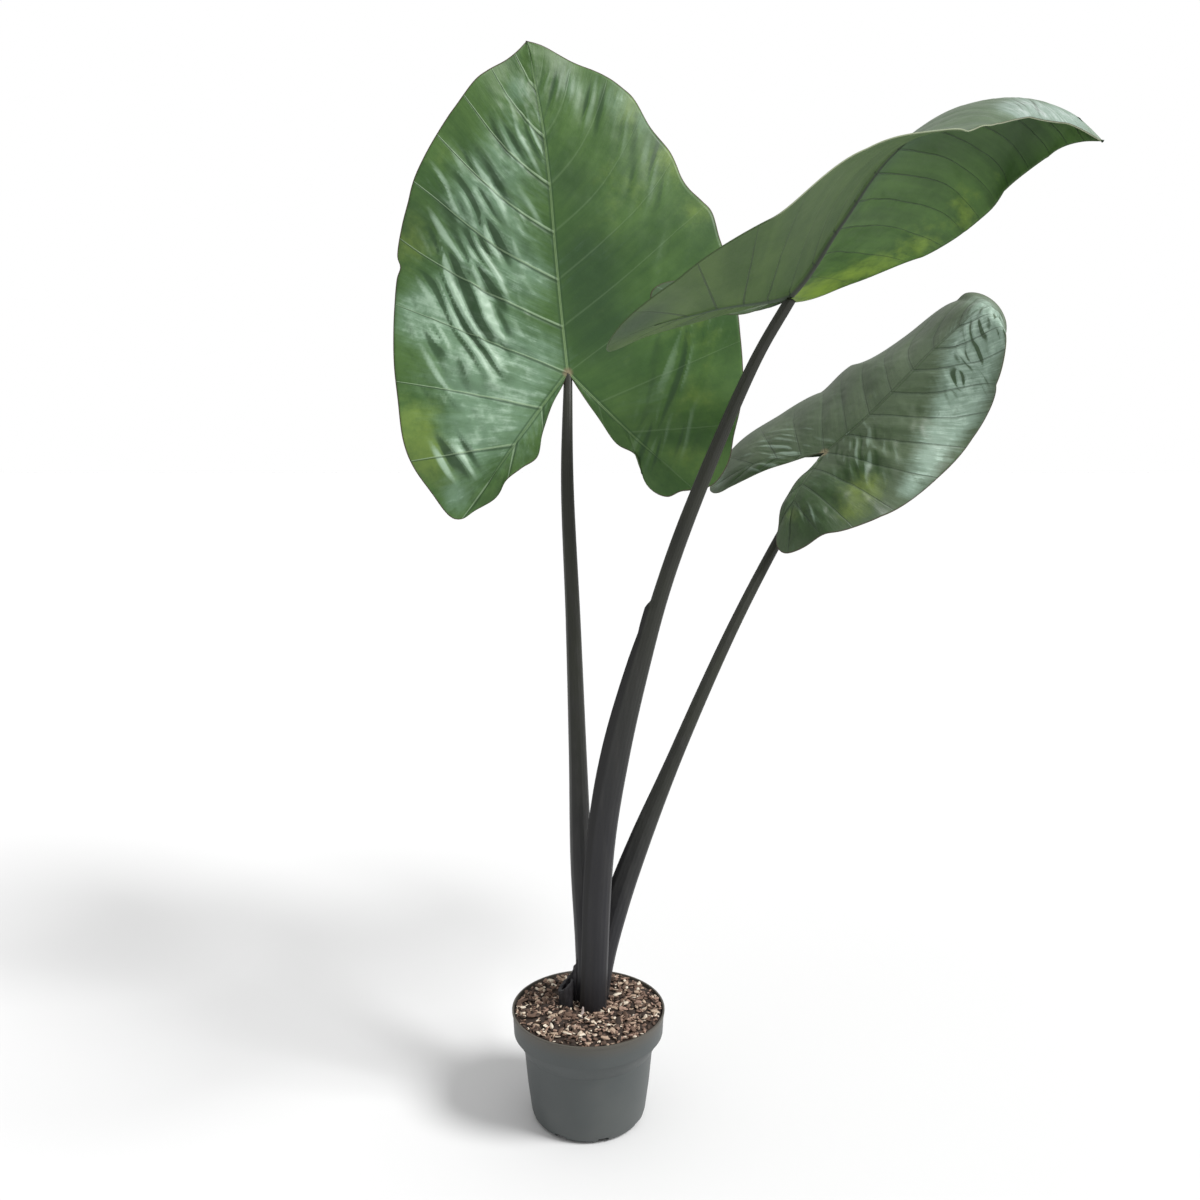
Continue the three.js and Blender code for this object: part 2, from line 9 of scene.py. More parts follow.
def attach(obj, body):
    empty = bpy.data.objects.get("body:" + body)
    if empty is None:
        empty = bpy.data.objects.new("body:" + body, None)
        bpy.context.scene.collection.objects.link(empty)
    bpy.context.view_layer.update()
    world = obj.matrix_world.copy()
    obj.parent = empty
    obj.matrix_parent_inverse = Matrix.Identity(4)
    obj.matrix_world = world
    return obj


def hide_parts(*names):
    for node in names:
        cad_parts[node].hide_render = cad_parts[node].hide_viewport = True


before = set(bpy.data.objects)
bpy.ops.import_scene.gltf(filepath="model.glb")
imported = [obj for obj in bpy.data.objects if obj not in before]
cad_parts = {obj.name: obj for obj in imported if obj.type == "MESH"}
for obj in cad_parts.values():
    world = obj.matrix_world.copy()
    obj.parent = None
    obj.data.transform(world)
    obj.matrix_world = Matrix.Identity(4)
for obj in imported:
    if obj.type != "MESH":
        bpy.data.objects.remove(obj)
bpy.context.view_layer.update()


# steps that all the pieces share

def deselectAll():
    if bpy.context.mode != "OBJECT":
        bpy.ops.object.mode_set(mode="OBJECT")
    bpy.ops.object.select_all(action="DESELECT")


def makeActive(piece):
    deselectAll()
    piece.select_set(True)
    bpy.context.view_layer.objects.active = piece


def editMesh(piece, action="SELECT"):
    # edit mode on one piece, with all of its mesh or none of it selected
    makeActive(piece)
    bpy.ops.object.mode_set(mode="EDIT")
    bpy.ops.mesh.select_all(action=action)


def applyModifier(piece, kind, name, **settings):
    makeActive(piece)
    modifier = piece.modifiers.new(name, kind)
    for key, value in settings.items():
        setattr(modifier, key, value)
    bpy.ops.object.modifier_apply(modifier=modifier.name)


def applyPlace(piece):
    makeActive(piece)
    bpy.ops.object.transform_apply(location=True, rotation=True, scale=True)


def joinPieces(pieces, name):
    makeActive(pieces[0])
    for piece in pieces[1:]:
        piece.select_set(True)
    bpy.ops.object.join()
    joined = bpy.context.view_layer.objects.active
    joined.name = name
    joined.data.name = name
    return joined


def mergeDoubles(piece, distance):
    editMesh(piece)
    bpy.ops.mesh.remove_doubles(threshold=distance)
    bpy.ops.mesh.dissolve_degenerate(threshold=1e-6)
    bpy.ops.object.mode_set(mode="OBJECT")


def turnOutward(piece):
    editMesh(piece)
    bpy.ops.mesh.normals_make_consistent(inside=False)
    bpy.ops.object.mode_set(mode="OBJECT")


def shadeSmooth(piece):
    for face in piece.data.polygons:
        face.use_smooth = True


def shadeByAngle(piece, angle):
    # faces that meet at more than the angle keep a sharp edge between them
    makeActive(piece)
    bpy.ops.object.shade_smooth_by_angle(angle=math.radians(angle))


def addGrid(name, columns, rows):
    # a flat grid, with each point's place on it from 0 to 1 both ways
    deselectAll()
    bpy.ops.mesh.primitive_grid_add(x_subdivisions=columns, y_subdivisions=rows, size=1, location=(0, 0, 0))
    piece = bpy.context.active_object
    piece.name = name
    places = readPoints(piece) + 0.5
    return piece, places[:, 0], places[:, 1]


def readPoints(piece):
    flat = np.zeros(len(piece.data.vertices) * 3)
    piece.data.vertices.foreach_get("co", flat)
    return flat.reshape(-1, 3)


def writePoints(piece, points):
    piece.data.vertices.foreach_set("co", np.ascontiguousarray(points, dtype=np.float64).ravel())
    piece.data.update()


def writeAttribute(piece, name, values):
    attribute = piece.data.attributes.get(name) or piece.data.attributes.new(name, "FLOAT", "POINT")
    attribute.data.foreach_set("value", np.ascontiguousarray(values, dtype=np.float32))


def readAttribute(piece, name):
    attribute = piece.data.attributes[name]
    values = np.zeros(len(attribute.data), dtype=np.float32)
    attribute.data.foreach_get("value", values)
    return values


def writeUv(piece, name, across, along):
    layer = piece.data.uv_layers.new(name=name)
    corner = np.zeros(len(piece.data.loops), dtype=np.int32)
    piece.data.loops.foreach_get("vertex_index", corner)
    values = np.stack([across[corner], along[corner]], axis=1)
    layer.data.foreach_set("uv", values.astype(np.float32).ravel())


def unit(vectors):
    return vectors / np.maximum(np.linalg.norm(vectors, axis=-1, keepdims=True), 1e-12)


def lumpsAt(points, size, seed, octaves=3):
    # smooth lumps between about -1 and 1, at a given size in metres
    shift = Vector((seed * 7.13, seed * 3.71, seed * 5.37))
    total = np.zeros(len(points))
    for index, point in enumerate(points):
        where = Vector(point) / size + shift
        total[index] = noise.fractal(where, 0.9, 2.0, octaves)
    return total


# shader helpers

class Wire:
    # one socket, with Python arithmetic that adds Math nodes
    def __init__(self, board, socket):
        self.board = board
        self.socket = socket

    def math(self, operation, *values):
        return self.board.node("ShaderNodeMath", {"operation": operation}, values)

    def __add__(self, other):
        return self.math("ADD", self, other)

    def __radd__(self, other):
        return self.math("ADD", other, self)

    def __sub__(self, other):
        return self.math("SUBTRACT", self, other)

    def __rsub__(self, other):
        return self.math("SUBTRACT", other, self)

    def __mul__(self, other):
        return self.math("MULTIPLY", self, other)

    def __rmul__(self, other):
        return self.math("MULTIPLY", other, self)

    def __truediv__(self, other):
        return self.math("DIVIDE", self, other)

    def __rtruediv__(self, other):
        return self.math("DIVIDE", other, self)

    def __abs__(self):
        return self.math("ABSOLUTE", self)

    def band(self, low, high):
        # 0 below low, 1 above high, eased between
        settings = {"interpolation_type": "SMOOTHSTEP"}
        values = {"Value": self, "From Min": low, "From Max": high}
        return self.board.node("ShaderNodeMapRange", settings, values)


class Board:
    # a node tree that nodes are added to
    def __init__(self, tree):
        self.tree = tree

    def node(self, kind, settings, values, output=0):
        # settings are set first, then each socket gets its value or its link
        made = self.tree.nodes.new(kind)
        for key, value in settings.items():
            setattr(made, key, value)
        pairs = values.items() if isinstance(values, dict) else enumerate(values)
        for key, value in pairs:
            self.plug(value, made.inputs[key])
        return Wire(self, made.outputs[output])

    def plug(self, value, socket):
        if isinstance(value, Wire):
            self.tree.links.new(value.socket, socket)
        else:
            socket.default_value = value

    def place(self, output="Object"):
        return self.node("ShaderNodeTexCoord", {}, {}, output)

    def split(self, vector, output):
        return self.node("ShaderNodeSeparateXYZ", {}, [vector], output)


class Paint(Board):
    # one material with its shader; its fixed values are set on the shader's own sockets
    def __init__(self, name, **fixed):
        self.material = bpy.data.materials.new(name)
        self.material.use_nodes = True
        super().__init__(self.material.node_tree)
        self.shader = self.tree.nodes["Principled BSDF"]
        for key, value in fixed.items():
            self.shader.inputs[key.replace("_", " ")].default_value = value

    def attribute(self, name):
        return self.node("ShaderNodeAttribute", {"attribute_name": name}, {}, "Fac")

    def uv(self, name):
        return self.node("ShaderNodeUVMap", {"uv_map": name}, {})

    def cloud(self, vector, scale, detail=3.0, rough=0.5):
        values = {"Vector": vector, "Scale": scale, "Detail": detail, "Roughness": rough}
        return self.node("ShaderNodeTexNoise", {}, values, "Fac")

    def stretched(self, vector, scale):
        return self.node("ShaderNodeMapping", {}, {"Vector": vector, "Scale": scale})

    def blend(self, amount, first, second):
        # the first colour at amount 0, the second at 1; the numbers are a colour mix's own sockets
        return self.node("ShaderNodeMix", {"data_type": "RGBA"}, {0: amount, 6: first, 7: second}, 2)

    def layers(self, base, *coats):
        # lays each coat, an amount and its colour, over what lies below it
        for amount, colour in coats:
            base = self.blend(amount, base, colour)
        return base

    def finish(self, colour, rough, height, distance, strength):
        self.plug(colour, self.shader.inputs["Base Color"])
        self.plug(rough, self.shader.inputs["Roughness"])
        values = {"Height": height, "Distance": distance, "Strength": strength}
        self.plug(self.node("ShaderNodeBump", {}, values), self.shader.inputs["Normal"])


def tint(red, green, blue):
    # a colour given as the eye reads it, 0 to 255
    def linear(value):
        share = value / 255
        return share / 12.92 if share <= 0.04045 else ((share + 0.055) / 1.055) ** 2.4
    return (linear(red), linear(green), linear(blue), 1.0)


def tintsOf(look):
    return {name: tint(*colour) for name, colour in look["tints"].items()}


# the studio: a floor, a camera, a low soft sun and a white sky that is brighter above
studio = {
    "cameraPlace": (0.016, -1.422, 0.930),
    "tiltDown": 8.3,
    "lens": 33.0,
    "sensor": 36.0,
    "farClip": 200.0,
    "sunFrom": (0.84, -0.36, 1.0),
    "sunStrength": 3.0,
    "sunSpread": 20.0,  # degrees across, for soft shadows
    "skyLow": 0.42,  # brightness at the horizon
    "skyHigh": 0.78,
    "skyTop": 0.9,  # height on a unit globe where the sky is brightest
    "white": (1.0, 1.0, 1.0, 1.0),
    "floorSize": 60,
    "floorGrey": (0.745, 0.745, 0.745, 1),
    "floorRough": 0.9,
}


def makeSky():
    world = bpy.data.worlds.new("paleSky")
    bpy.context.scene.world = world
    world.use_nodes = True
    world.node_tree.nodes.clear()
    board = Board(world.node_tree)
    up = board.split(board.place("Generated"), "Z")
    strength = board.node("ShaderNodeMapRange", {}, {
        "Value": up, "From Max": studio["skyTop"], "To Min": studio["skyLow"], "To Max": studio["skyHigh"],
    })
    light = board.node("ShaderNodeBackground", {}, [studio["white"], strength])
    seen = board.node("ShaderNodeBackground", {}, [studio["white"], 1.0])
    straight = board.node("ShaderNodeLightPath", {}, {}, "Is Camera Ray")
    sky = board.node("ShaderNodeMixShader", {}, [straight, light, seen])
    board.plug(sky, world.node_tree.nodes.new("ShaderNodeOutputWorld").inputs["Surface"])


def makeStudio():
    scene = bpy.context.scene
    scene.view_settings.view_transform = "Standard"
    makeSky()

    deselectAll()
    bpy.ops.object.light_add(type="SUN", location=studio["sunFrom"])
    sun = bpy.context.active_object
    sun.data.energy = studio["sunStrength"]
    sun.data.angle = math.radians(studio["sunSpread"])
    sun.rotation_euler = Vector(studio["sunFrom"]).to_track_quat("Z", "Y").to_euler()

    bpy.ops.object.camera_add(location=studio["cameraPlace"])
    camera = bpy.context.active_object
    camera.rotation_euler = (math.radians(90 - studio["tiltDown"]), 0, 0)
    camera.data.lens = studio["lens"]
    camera.data.sensor_width = studio["sensor"]
    camera.data.clip_end = studio["farClip"]
    scene.camera = camera

    deselectAll()
    bpy.ops.mesh.primitive_plane_add(size=studio["floorSize"], location=(0, 0, 0))
    floor = bpy.context.active_object
    floor.name = "floor"
    paint = Paint("paleFloor", Roughness=studio["floorRough"], Base_Color=studio["floorGrey"])
    floor.data.materials.append(paint.material)


# leaf blades: each stands on stations at these places along its midrib, in blade lengths
stationPlaces = np.array([-0.4, -0.2, 0, 0.2, 0.4, 0.6, 0.8, 0.9, 1])

# Half outlines in blade lengths, (along, out) from the tip round to the stalk joint. "shoulder" and
# "lobeEnd" count the points to where the last vein of the midrib ends and to the end of the lobe.
# "veinLean" crowds the ends of the side veins toward the tip.
plainHalf = {
    "edge": [
        (1, 0), (0.965, 0.03), (0.92, 0.085), (0.86, 0.165), (0.79, 0.238), (0.71, 0.31), (0.6, 0.382),
        (0.48, 0.432), (0.36, 0.472), (0.22, 0.493), (0.08, 0.512), (-0.06, 0.508), (-0.16, 0.492),
        (-0.25, 0.452), (-0.33, 0.412), (-0.385, 0.36), (-0.395, 0.31), (-0.375, 0.26), (-0.33, 0.22),
        (-0.27, 0.168), (-0.2, 0.118), (-0.13, 0.073), (-0.06, 0.04), (0, 0),
    ],
    "shoulder": 9,
    "lobeEnd": 15,
    "veinLean": 1.45,
}
tallLeftHalf = {
    "edge": [
        (1, 0), (0.972, 0.034), (0.944, 0.078), (0.911, 0.146), (0.878, 0.199), (0.81, 0.267),
        (0.743, 0.323), (0.676, 0.371), (0.608, 0.41), (0.54, 0.433), (0.47, 0.46), (0.401, 0.484),
        (0.366, 0.48), (0.332, 0.495), (0.261, 0.507), (0.155, 0.516), (0.049, 0.525), (-0.059, 0.523),
        (-0.165, 0.517), (-0.237, 0.496), (-0.312, 0.455), (-0.387, 0.41), (-0.403, 0.373), (-0.383, 0.331),
        (-0.352, 0.263), (-0.303, 0.226), (-0.272, 0.173), (-0.242, 0.119), (-0.171, 0.095), (-0.1, 0.062),
        (-0.036, 0.018), (0, 0),
    ],
    "shoulder": 14,
    "lobeEnd": 22,
    "veinLean": 1.45,
}
tallRightHalf = {
    "edge": [
        (1, 0), (0.984, 0.047), (0.96, 0.098), (0.943, 0.13), (0.907, 0.192), (0.871, 0.235),
        (0.835, 0.271), (0.799, 0.305), (0.725, 0.341), (0.65, 0.394), (0.574, 0.414), (0.536, 0.433),
        (0.496, 0.466), (0.456, 0.493), (0.378, 0.506), (0.306, 0.523), (0.18, 0.538), (0.061, 0.539),
        (-0.019, 0.54), (-0.095, 0.534), (-0.171, 0.513), (-0.257, 0.484), (-0.337, 0.458), (-0.398, 0.404),
        (-0.408, 0.342), (-0.409, 0.302), (-0.419, 0.261), (-0.397, 0.221), (-0.356, 0.195), (-0.28, 0.183),
        (-0.234, 0.127), (-0.154, 0.084), (-0.074, 0.04), (0, 0),
    ],
    "shoulder": 15,
    "lobeEnd": 24,
    "veinLean": 1.45,
}


def withSpread(half, share):
    # the same half outline, made wider or narrower
    return dict(half, edge=[(along, out * share) for along, out in half["edge"]])


# Each leaf: a station is the midrib point in millimetres, then the blade's turn, the lift of its left
# and right halves and their curl, in degrees. Spots, folds and lifts lie on the flat blade: along, out,
# radius, and strength or rise. The pale spots are painted sheen, and the dark spots partly darker green
# and partly painted shade. The path, widths and sheath of the stalk are in millimetres, foot to top.
leafOne = {
    "number": 1,
    "length": 0.473,
    "halves": (tallLeftHalf, tallRightHalf),
    "wave": (0.005, 0.005),  # height of the waved edge, left and right
    "waveCount": 5,
    "lifts": [],
    "pucker": (0.0036, 0.0010),  # height of the small lumps
    "veinDip": (0.0034, 0.0012),  # depth of the side veins
    "veins": (7, 3),  # along the midrib, and along the rib of a lobe
    "spots": {
        "pale": [
            (0.16, -0.30, 0.18, 0.75), (0.42, -0.20, 0.16, 0.6), (0.22, -0.42, 0.08, 0.9),
            (0.02, -0.12, 0.12, 1.0), (-0.03, -0.30, 0.12, 0.8), (0.68, -0.10, 0.12, 0.6),
            (-0.34, -0.38, 0.05, 0.8), (-0.20, -0.32, 0.10, 0.8), (-0.16, -0.18, 0.08, 0.5),
            (0.80, 0.24, 0.06, 0.6), (0.86, 0.11, 0.06, 0.6), (0.74, 0.33, 0.05, 0.5),
            (-0.10, 0.26, 0.07, 0.35), (0.86, -0.06, 0.05, 0.5), (0.56, -0.24, 0.12, 0.6),
            (0.30, -0.10, 0.10, 0.5),
        ],
        "yellow": [
            (0.43, -0.43, 0.08, 0.8), (-0.14, -0.50, 0.10, 1.0), (-0.22, -0.44, 0.08, 0.8),
            (0.63, 0.40, 0.06, 1.0), (0.78, 0.28, 0.06, 1.0), (0.47, 0.44, 0.06, 0.7),
            (0.68, -0.30, 0.07, 0.4), (0.10, 0.42, 0.10, 0.5), (-0.12, 0.38, 0.09, 0.5),
            (0.55, 0.22, 0.10, 0.5), (-0.30, 0.34, 0.07, 0.5), (-0.05, -0.40, 0.07, 0.4),
        ],
        "dark": [
            (0.34, 0.09, 0.13, 1.0), (0.12, 0.10, 0.14, 1.0), (0.58, 0.07, 0.10, 0.8),
            (-0.05, 0.26, 0.12, 0.3), (0.30, -0.32, 0.07, 0.5), (0.82, -0.04, 0.07, 0.4),
            (-0.16, -0.20, 0.10, 0.2), (-0.20, 0.24, 0.10, 0.3), (0.20, 0.46, 0.06, 0.6),
            (0.38, 0.30, 0.08, 0.4),
        ],
    },
    "folds": [
        (0.58, -0.26, 0.10, 0.5), (0.30, -0.28, 0.15, 1.0), (0.14, -0.26, 0.11, 1.0),
        (0.48, -0.18, 0.12, 0.9), (-0.22, -0.36, 0.07, 0.8), (0.14, -0.42, 0.06, 0.8),
        (0.72, -0.08, 0.10, 0.7), (0.80, 0.18, 0.10, 0.3), (0.0, -0.38, 0.08, 0.5),
        (-0.24, 0.28, 0.12, 0.5), (-0.06, 0.34, 0.12, 0.45), (0.10, 0.40, 0.12, 0.35),
        (0.62, 0.32, 0.12, 0.4), (0.84, 0.10, 0.08, 0.5), (0.40, 0.34, 0.14, 0.25),
    ],
    "foldTurn": 24,  # degrees from the midrib
    "foldHeight": 0.0062,
    "foldSize": (0.027, 0.15),  # width and length of a fold
    "stations": [
        (-9, 180, 839, 179, 5, 10, -15, -14), (-21, 193, 931, 177, 7, 8, -14, -14),
        (-31, 208, 1026, 177, 7, 6, -14, -14), (-41, 221, 1119, 178, 5, 5, -14, -14),
        (-50, 231, 1214, 178, 3, 2, -15, -14), (-58, 238, 1308, 174, 7, -1, -14, -15),
        (-71, 243, 1402, 171, 11, -5, -13, -15), (-80, 247, 1449, 169, 12, -8, -13, -15),
        (-89, 252, 1495, 167, 13, -11, -13, -15),
    ],
    "path": [(0, 8, 112), (-3, 17, 230), (-10, 38, 352), (-15, 68, 494), (-22, 112, 678), (-31, 165, 873)],
    "widths": [30, 30, 30, 25, 21, 18, 12],
    "sheath": [3, 4, 6, 3, 0, 0, 0],
    "sheathAngle": 100,  # where its open edge is
}
leafTwo = {
    "number": 2,
    "length": 0.475,
    "halves": (dict(plainHalf, veinLean=1.75), plainHalf),
    "wave": (0.003, 0.0),
    "waveCount": 6,
    "lifts": [(0.31, 0.48, 0.07, -0.007), (0.46, 0.44, 0.05, 0.003)],
    "pucker": (0.0018, 0.0007),
    "veinDip": (0.0022, 0.0008),
    "veins": (12, 5),
    "spots": {
        "pale": [(0.80, 0.14, 0.12, 1.0), (0.72, 0.24, 0.08, 0.8), (0.92, 0.05, 0.08, 0.8)],
        "yellow": [
            (0.10, -0.45, 0.10, 1.0), (0.25, -0.43, 0.09, 0.9), (0.42, -0.40, 0.08, 0.8),
            (0.60, -0.32, 0.07, 0.7), (0.04, -0.34, 0.10, 0.5), (0.74, -0.22, 0.06, 0.5),
            (-0.10, -0.44, 0.10, 0.5),
        ],
        "dark": [
            (-0.30, 0.36, 0.09, 1.0), (-0.34, -0.38, 0.10, 1.0), (0.55, -0.08, 0.16, 0.6),
            (0.80, -0.08, 0.12, 0.7), (-0.05, 0.10, 0.08, 0.4),
        ],
    },
    "folds": [
        (-0.10, 0.12, 0.08, 0.6), (0.75, 0.12, 0.10, 0.5), (0.10, -0.30, 0.15, 0.5),
        (0.5, -0.25, 0.15, 0.4),
    ],
    "foldTurn": 60,
    "foldHeight": 0.0018,
    "foldSize": (0.016, 0.09),
    "stations": [
        (67, -47, 1032, -89, 32, 1, 3, 0), (154, -74, 1058, -83, 29, 8, -6, -9),
        (237, -86, 1099, -78, 22, 9, -15, -18), (296, -85, 1182, -74, 5, 0, -26, -30),
        (352, -82, 1259, -75, -12, -15, -38, -43), (425, -90, 1307, -76, -21, -22, -48, -54),
        (510, -109, 1310, -79, -31, -33, -58, -65), (548, -122, 1291, -83, -38, -42, -67, -76),
        (577, -135, 1259, -88, -45, -52, -77, -87),
    ],
    "path": [
        (8, -8, 112), (11, -10, 227), (21, -19, 396), (42, -27, 522), (69, -36, 643), (95, -43, 742),
        (132, -52, 851), (204, -66, 1025),
    ],
    "widths": [32, 32, 30, 26, 22.5, 20, 18.5, 14, 13],
    "sheath": [6, 6, 10, 14, 9, 0, 0, 0, 0],
    "sheathAngle": 200,
    "sheathTop": 4.82,  # the entry where the sheath ends in a tip
}
leafThree = {
    "number": 3,
    "length": 0.400,
    "halves": (withSpread(plainHalf, 0.9), withSpread(plainHalf, 0.75)),
    "wave": (0.0, 0.0015),
    "waveCount": 6,
    "lifts": [],
    "pucker": (0.0014, 0.0030),
    "veinDip": (0.0022, 0.0030),
    "veins": (9, 4),
    "spots": {
        "pale": [
            (0.84, 0.04, 0.10, 1.0), (0.74, 0.10, 0.11, 1.0), (0.64, 0.13, 0.11, 1.0),
            (0.54, 0.18, 0.10, 1.0), (0.44, 0.23, 0.08, 1.0), (0.34, 0.26, 0.07, 1.0),
            (0.24, 0.30, 0.06, 1.0), (0.15, 0.34, 0.05, 0.9), (0.80, -0.10, 0.07, 0.4),
            (-0.20, 0.26, 0.05, 0.4), (-0.34, -0.30, 0.05, 0.5),
        ],
        "yellow": [
            (0.03, 0.26, 0.07, 1.0), (-0.07, 0.31, 0.08, 0.8), (-0.24, 0.20, 0.05, 0.5),
            (-0.36, -0.32, 0.03, 0.7),
        ],
        "dark": [
            (-0.10, 0.18, 0.14, 1.0), (0.08, 0.18, 0.07, 0.9), (-0.26, 0.30, 0.13, 1.0),
            (-0.02, 0.35, 0.07, 0.7), (0.12, 0.02, 0.06, 0.7), (-0.30, -0.18, 0.10, 0.9),
            (-0.22, -0.10, 0.05, 0.8), (0.30, 0.35, 0.04, 0.8), (0.45, 0.32, 0.04, 0.8),
            (0.60, 0.27, 0.03, 0.6), (-0.18, 0.34, 0.06, 0.5),
        ],
    },
    "folds": [
        (0.74, 0.14, 0.13, 0.8), (0.54, 0.18, 0.09, 0.7), (0.08, 0.16, 0.12, 0.4),
        (-0.12, -0.14, 0.14, 0.7), (0.86, 0.0, 0.10, 0.6), (0.12, 0.06, 0.10, 0.5),
        (-0.22, 0.26, 0.08, 0.45),
    ],
    "foldTurn": -62,
    "foldHeight": 0.0034,
    "foldSize": (0.019, 0.06),
    "stations": [
        (238, 266, 805, 200, -27, 50, -84, -144), (291, 266, 862, 201, -23, 55, -87, -136),
        (357, 265, 910, 198, -27, 49, -91, -131), (415, 257, 961, 195, -35, 38, -93, -128),
        (473, 259, 1020, 192, -39, 28, -94, -127), (531, 270, 1077, 202, -40, 32, -94, -127),
        (596, 265, 1123, 209, -33, 38, -92, -130), (622, 280, 1096, 203, -30, 28, -88, -135),
        (625, 296, 1049, 201, -35, 13, -85, -140),
    ],
    "path": [
        (9, 16, 112), (20, 27, 203), (42, 49, 281), (72, 73, 360), (125, 114, 480), (207, 176, 645),
        (274, 223, 763),
    ],
    "widths": [28, 30, 30, 27, 21, 17, 15, 12],
    "sheath": [3, 5, 7, 5, 0, 0, 0, 0],
    "sheathAngle": 190,
}

bladeLook = {
    "thickness": 0.0011,
    "columns": (172, 74, 74),  # down the midrib, out along the rib of the lobe, and back
    "rows": 70,
    "rowCrowding": 1.45,  # toward the ribs
    "ribReach": 0.74,  # share of the lobe that its rib runs through
    "ribWidth": 0.0060,
    "ribHeight": 0.0062,
    "ribTaper": 0.8,
    "thinRib": 0.25,  # share of the full width left where a rib ends
    "lowRib": 0.1,  # and of the full height
    "lobeRibSize": 0.62,
    "veinBow": 0.035,
    "veinRoundness": 0.75,
    "sheetLevel": 0.45,  # where the sheet lies between a vein and the crown beside it
    "foldSharpness": 2.2,
    "flankShift": 0.22,  # in widths of a fold
    "lumpSize": 0.045,
    "smallLumpSize": 0.016,
    "smallLumpShare": 0.35,
    "waveStarts": (2.1, 0.4),
}


def smoothValues(values, place):
    # a smooth value through evenly spaced entries, at a place counted in entries from the first
    entries = np.asarray(values, float)
    last = len(entries) - 1
    index = np.clip(np.floor(place).astype(int), 0, last - 1)
    padded = np.concatenate([[2 * entries[0] - entries[1]], entries, [2 * entries[last] - entries[last - 1]]])
    before, here, ahead, after = (padded[index + step] for step in range(4))
    f = place - index
    bend = 2 * before - 5 * here + 4 * ahead - after
    twist = 3 * here - before - 3 * ahead + after
    return 0.5 * (2 * here + (ahead - before) * f + bend * f * f + twist * f ** 3)


def stationValues(values, along):
    # a smooth value through the stations, at places along the blade
    entries = np.asarray(values, float)
    spans = np.diff(stationPlaces)
    rises = np.diff(entries) / spans
    inner = (spans[1:] * rises[:-1] + spans[:-1] * rises[1:]) / (spans[1:] + spans[:-1])
    slopes = np.concatenate([rises[:1], inner, rises[-1:]])
    index = np.clip(np.searchsorted(stationPlaces, along, side="right") - 1, 0, len(spans) - 1)
    f = (along - stationPlaces[index]) / spans[index]
    rise = entries[index + 1] - entries[index]
    start = slopes[index] * spans[index]
    end = slopes[index + 1] * spans[index]
    bend = 3 * rise - 2 * start - end
    twist = start + end - 2 * rise
    return entries[index] + start * f + bend * f ** 2 + twist * f ** 3


def midribFrames(leaf, along):
    # the midrib points, the two ways across them, and the angles there in radians
    stations = np.array(leaf["stations"], float)
    step = 0.002

    def pointAt(where):
        return np.stack([stationValues(stations[:, axis], where) for axis in range(3)], axis=-1) / 1000

    direction = unit(pointAt(along + step) - pointAt(along - step))
    back = unit(np.array([0.0, 1.0, 0.0]) - direction * direction[:, 1:2])
    across = np.cross(direction, back)
    angles = [np.radians(stationValues(stations[:, axis], along)) for axis in range(3, 8)]
    return pointAt(along), across, back, angles


def bladePoints(leaf, along, out):
    # where flat places lie on the bent blade; out is negative on the left half
    point, across, back, (turn, liftLeft, liftRight, curlLeft, curlRight) = midribFrames(leaf, along)
    right = out > 0
    sign = np.where(right, 1.0, -1.0)
    start = turn + sign * np.where(right, liftRight, liftLeft)
    curl = sign * np.where(right, curlRight, curlLeft)
    curl = np.where(np.abs(curl) < 1e-6, 1e-6, curl)
    reach = np.abs(out)
    sideways = (np.sin(start + curl * reach) - np.sin(start)) / curl
    deep = (np.cos(start) - np.cos(start + curl * reach)) / curl
    scale = (sign * leaf["length"])[:, None]
    return point + across * sideways[:, None] * scale + back * deep[:, None] * scale


def bladeNormals(leaf, along, out):
    # the way the upper side faces
    near = 1e-3
    step = np.where(out > 0, near, -near)
    point = bladePoints(leaf, along, out)
    lengthwise = bladePoints(leaf, along + near, out) - point
    crosswise = (bladePoints(leaf, along, out + step) - point) * np.sign(step)[:, None]
    return unit(np.cross(crosswise, lengthwise))


# Each half is swept by lines that follow the side veins: the sweep value runs 0 to 1 down the
# midrib from the tip, to 2 out along the rib of the lobe and to 3 back to the joint. Outward runs
# 0 to 1 along each line, from the rib to the edge.

def edgeCurve(half):
    # gives a function from sweep values to places on the outline
    corners = np.array(half["edge"], float)
    finer = 20
    where = np.linspace(0, len(corners) - 1, finer * (len(corners) - 1) + 1)
    fine = np.stack([smoothValues(corners[:, 0], where), smoothValues(corners[:, 1], where)], axis=-1)
    lengths = np.concatenate([[0], np.cumsum(np.linalg.norm(np.diff(fine, axis=0), axis=1))])
    turns = (0, half["shoulder"], half["lobeEnd"], len(corners) - 1)
    marks = np.array([lengths[finer * index] for index in turns])

    def placeAt(sweep):
        part = np.minimum(np.floor(sweep).astype(int), 2)
        inPart = sweep - part
        inPart = np.where(part == 0, inPart ** half["veinLean"], inPart)
        length = marks[part] + (marks[part + 1] - marks[part]) * inPart
        return np.interp(length, lengths, fine[:, 0]), np.interp(length, lengths, fine[:, 1])

    return placeAt


def ribPlaces(half, sweep):
    # where each vein line leaves the midrib or the rib of the lobe, in blade lengths
    lobeAlong, lobeOut = half["edge"][half["lobeEnd"]]
    reach = bladeLook["ribReach"] * np.where(sweep <= 2, sweep - 1, 3 - sweep)
    onMidrib = sweep <= 1
    return np.where(onMidrib, 1 - sweep, lobeAlong * reach), np.where(onMidrib, 0, lobeOut * reach)


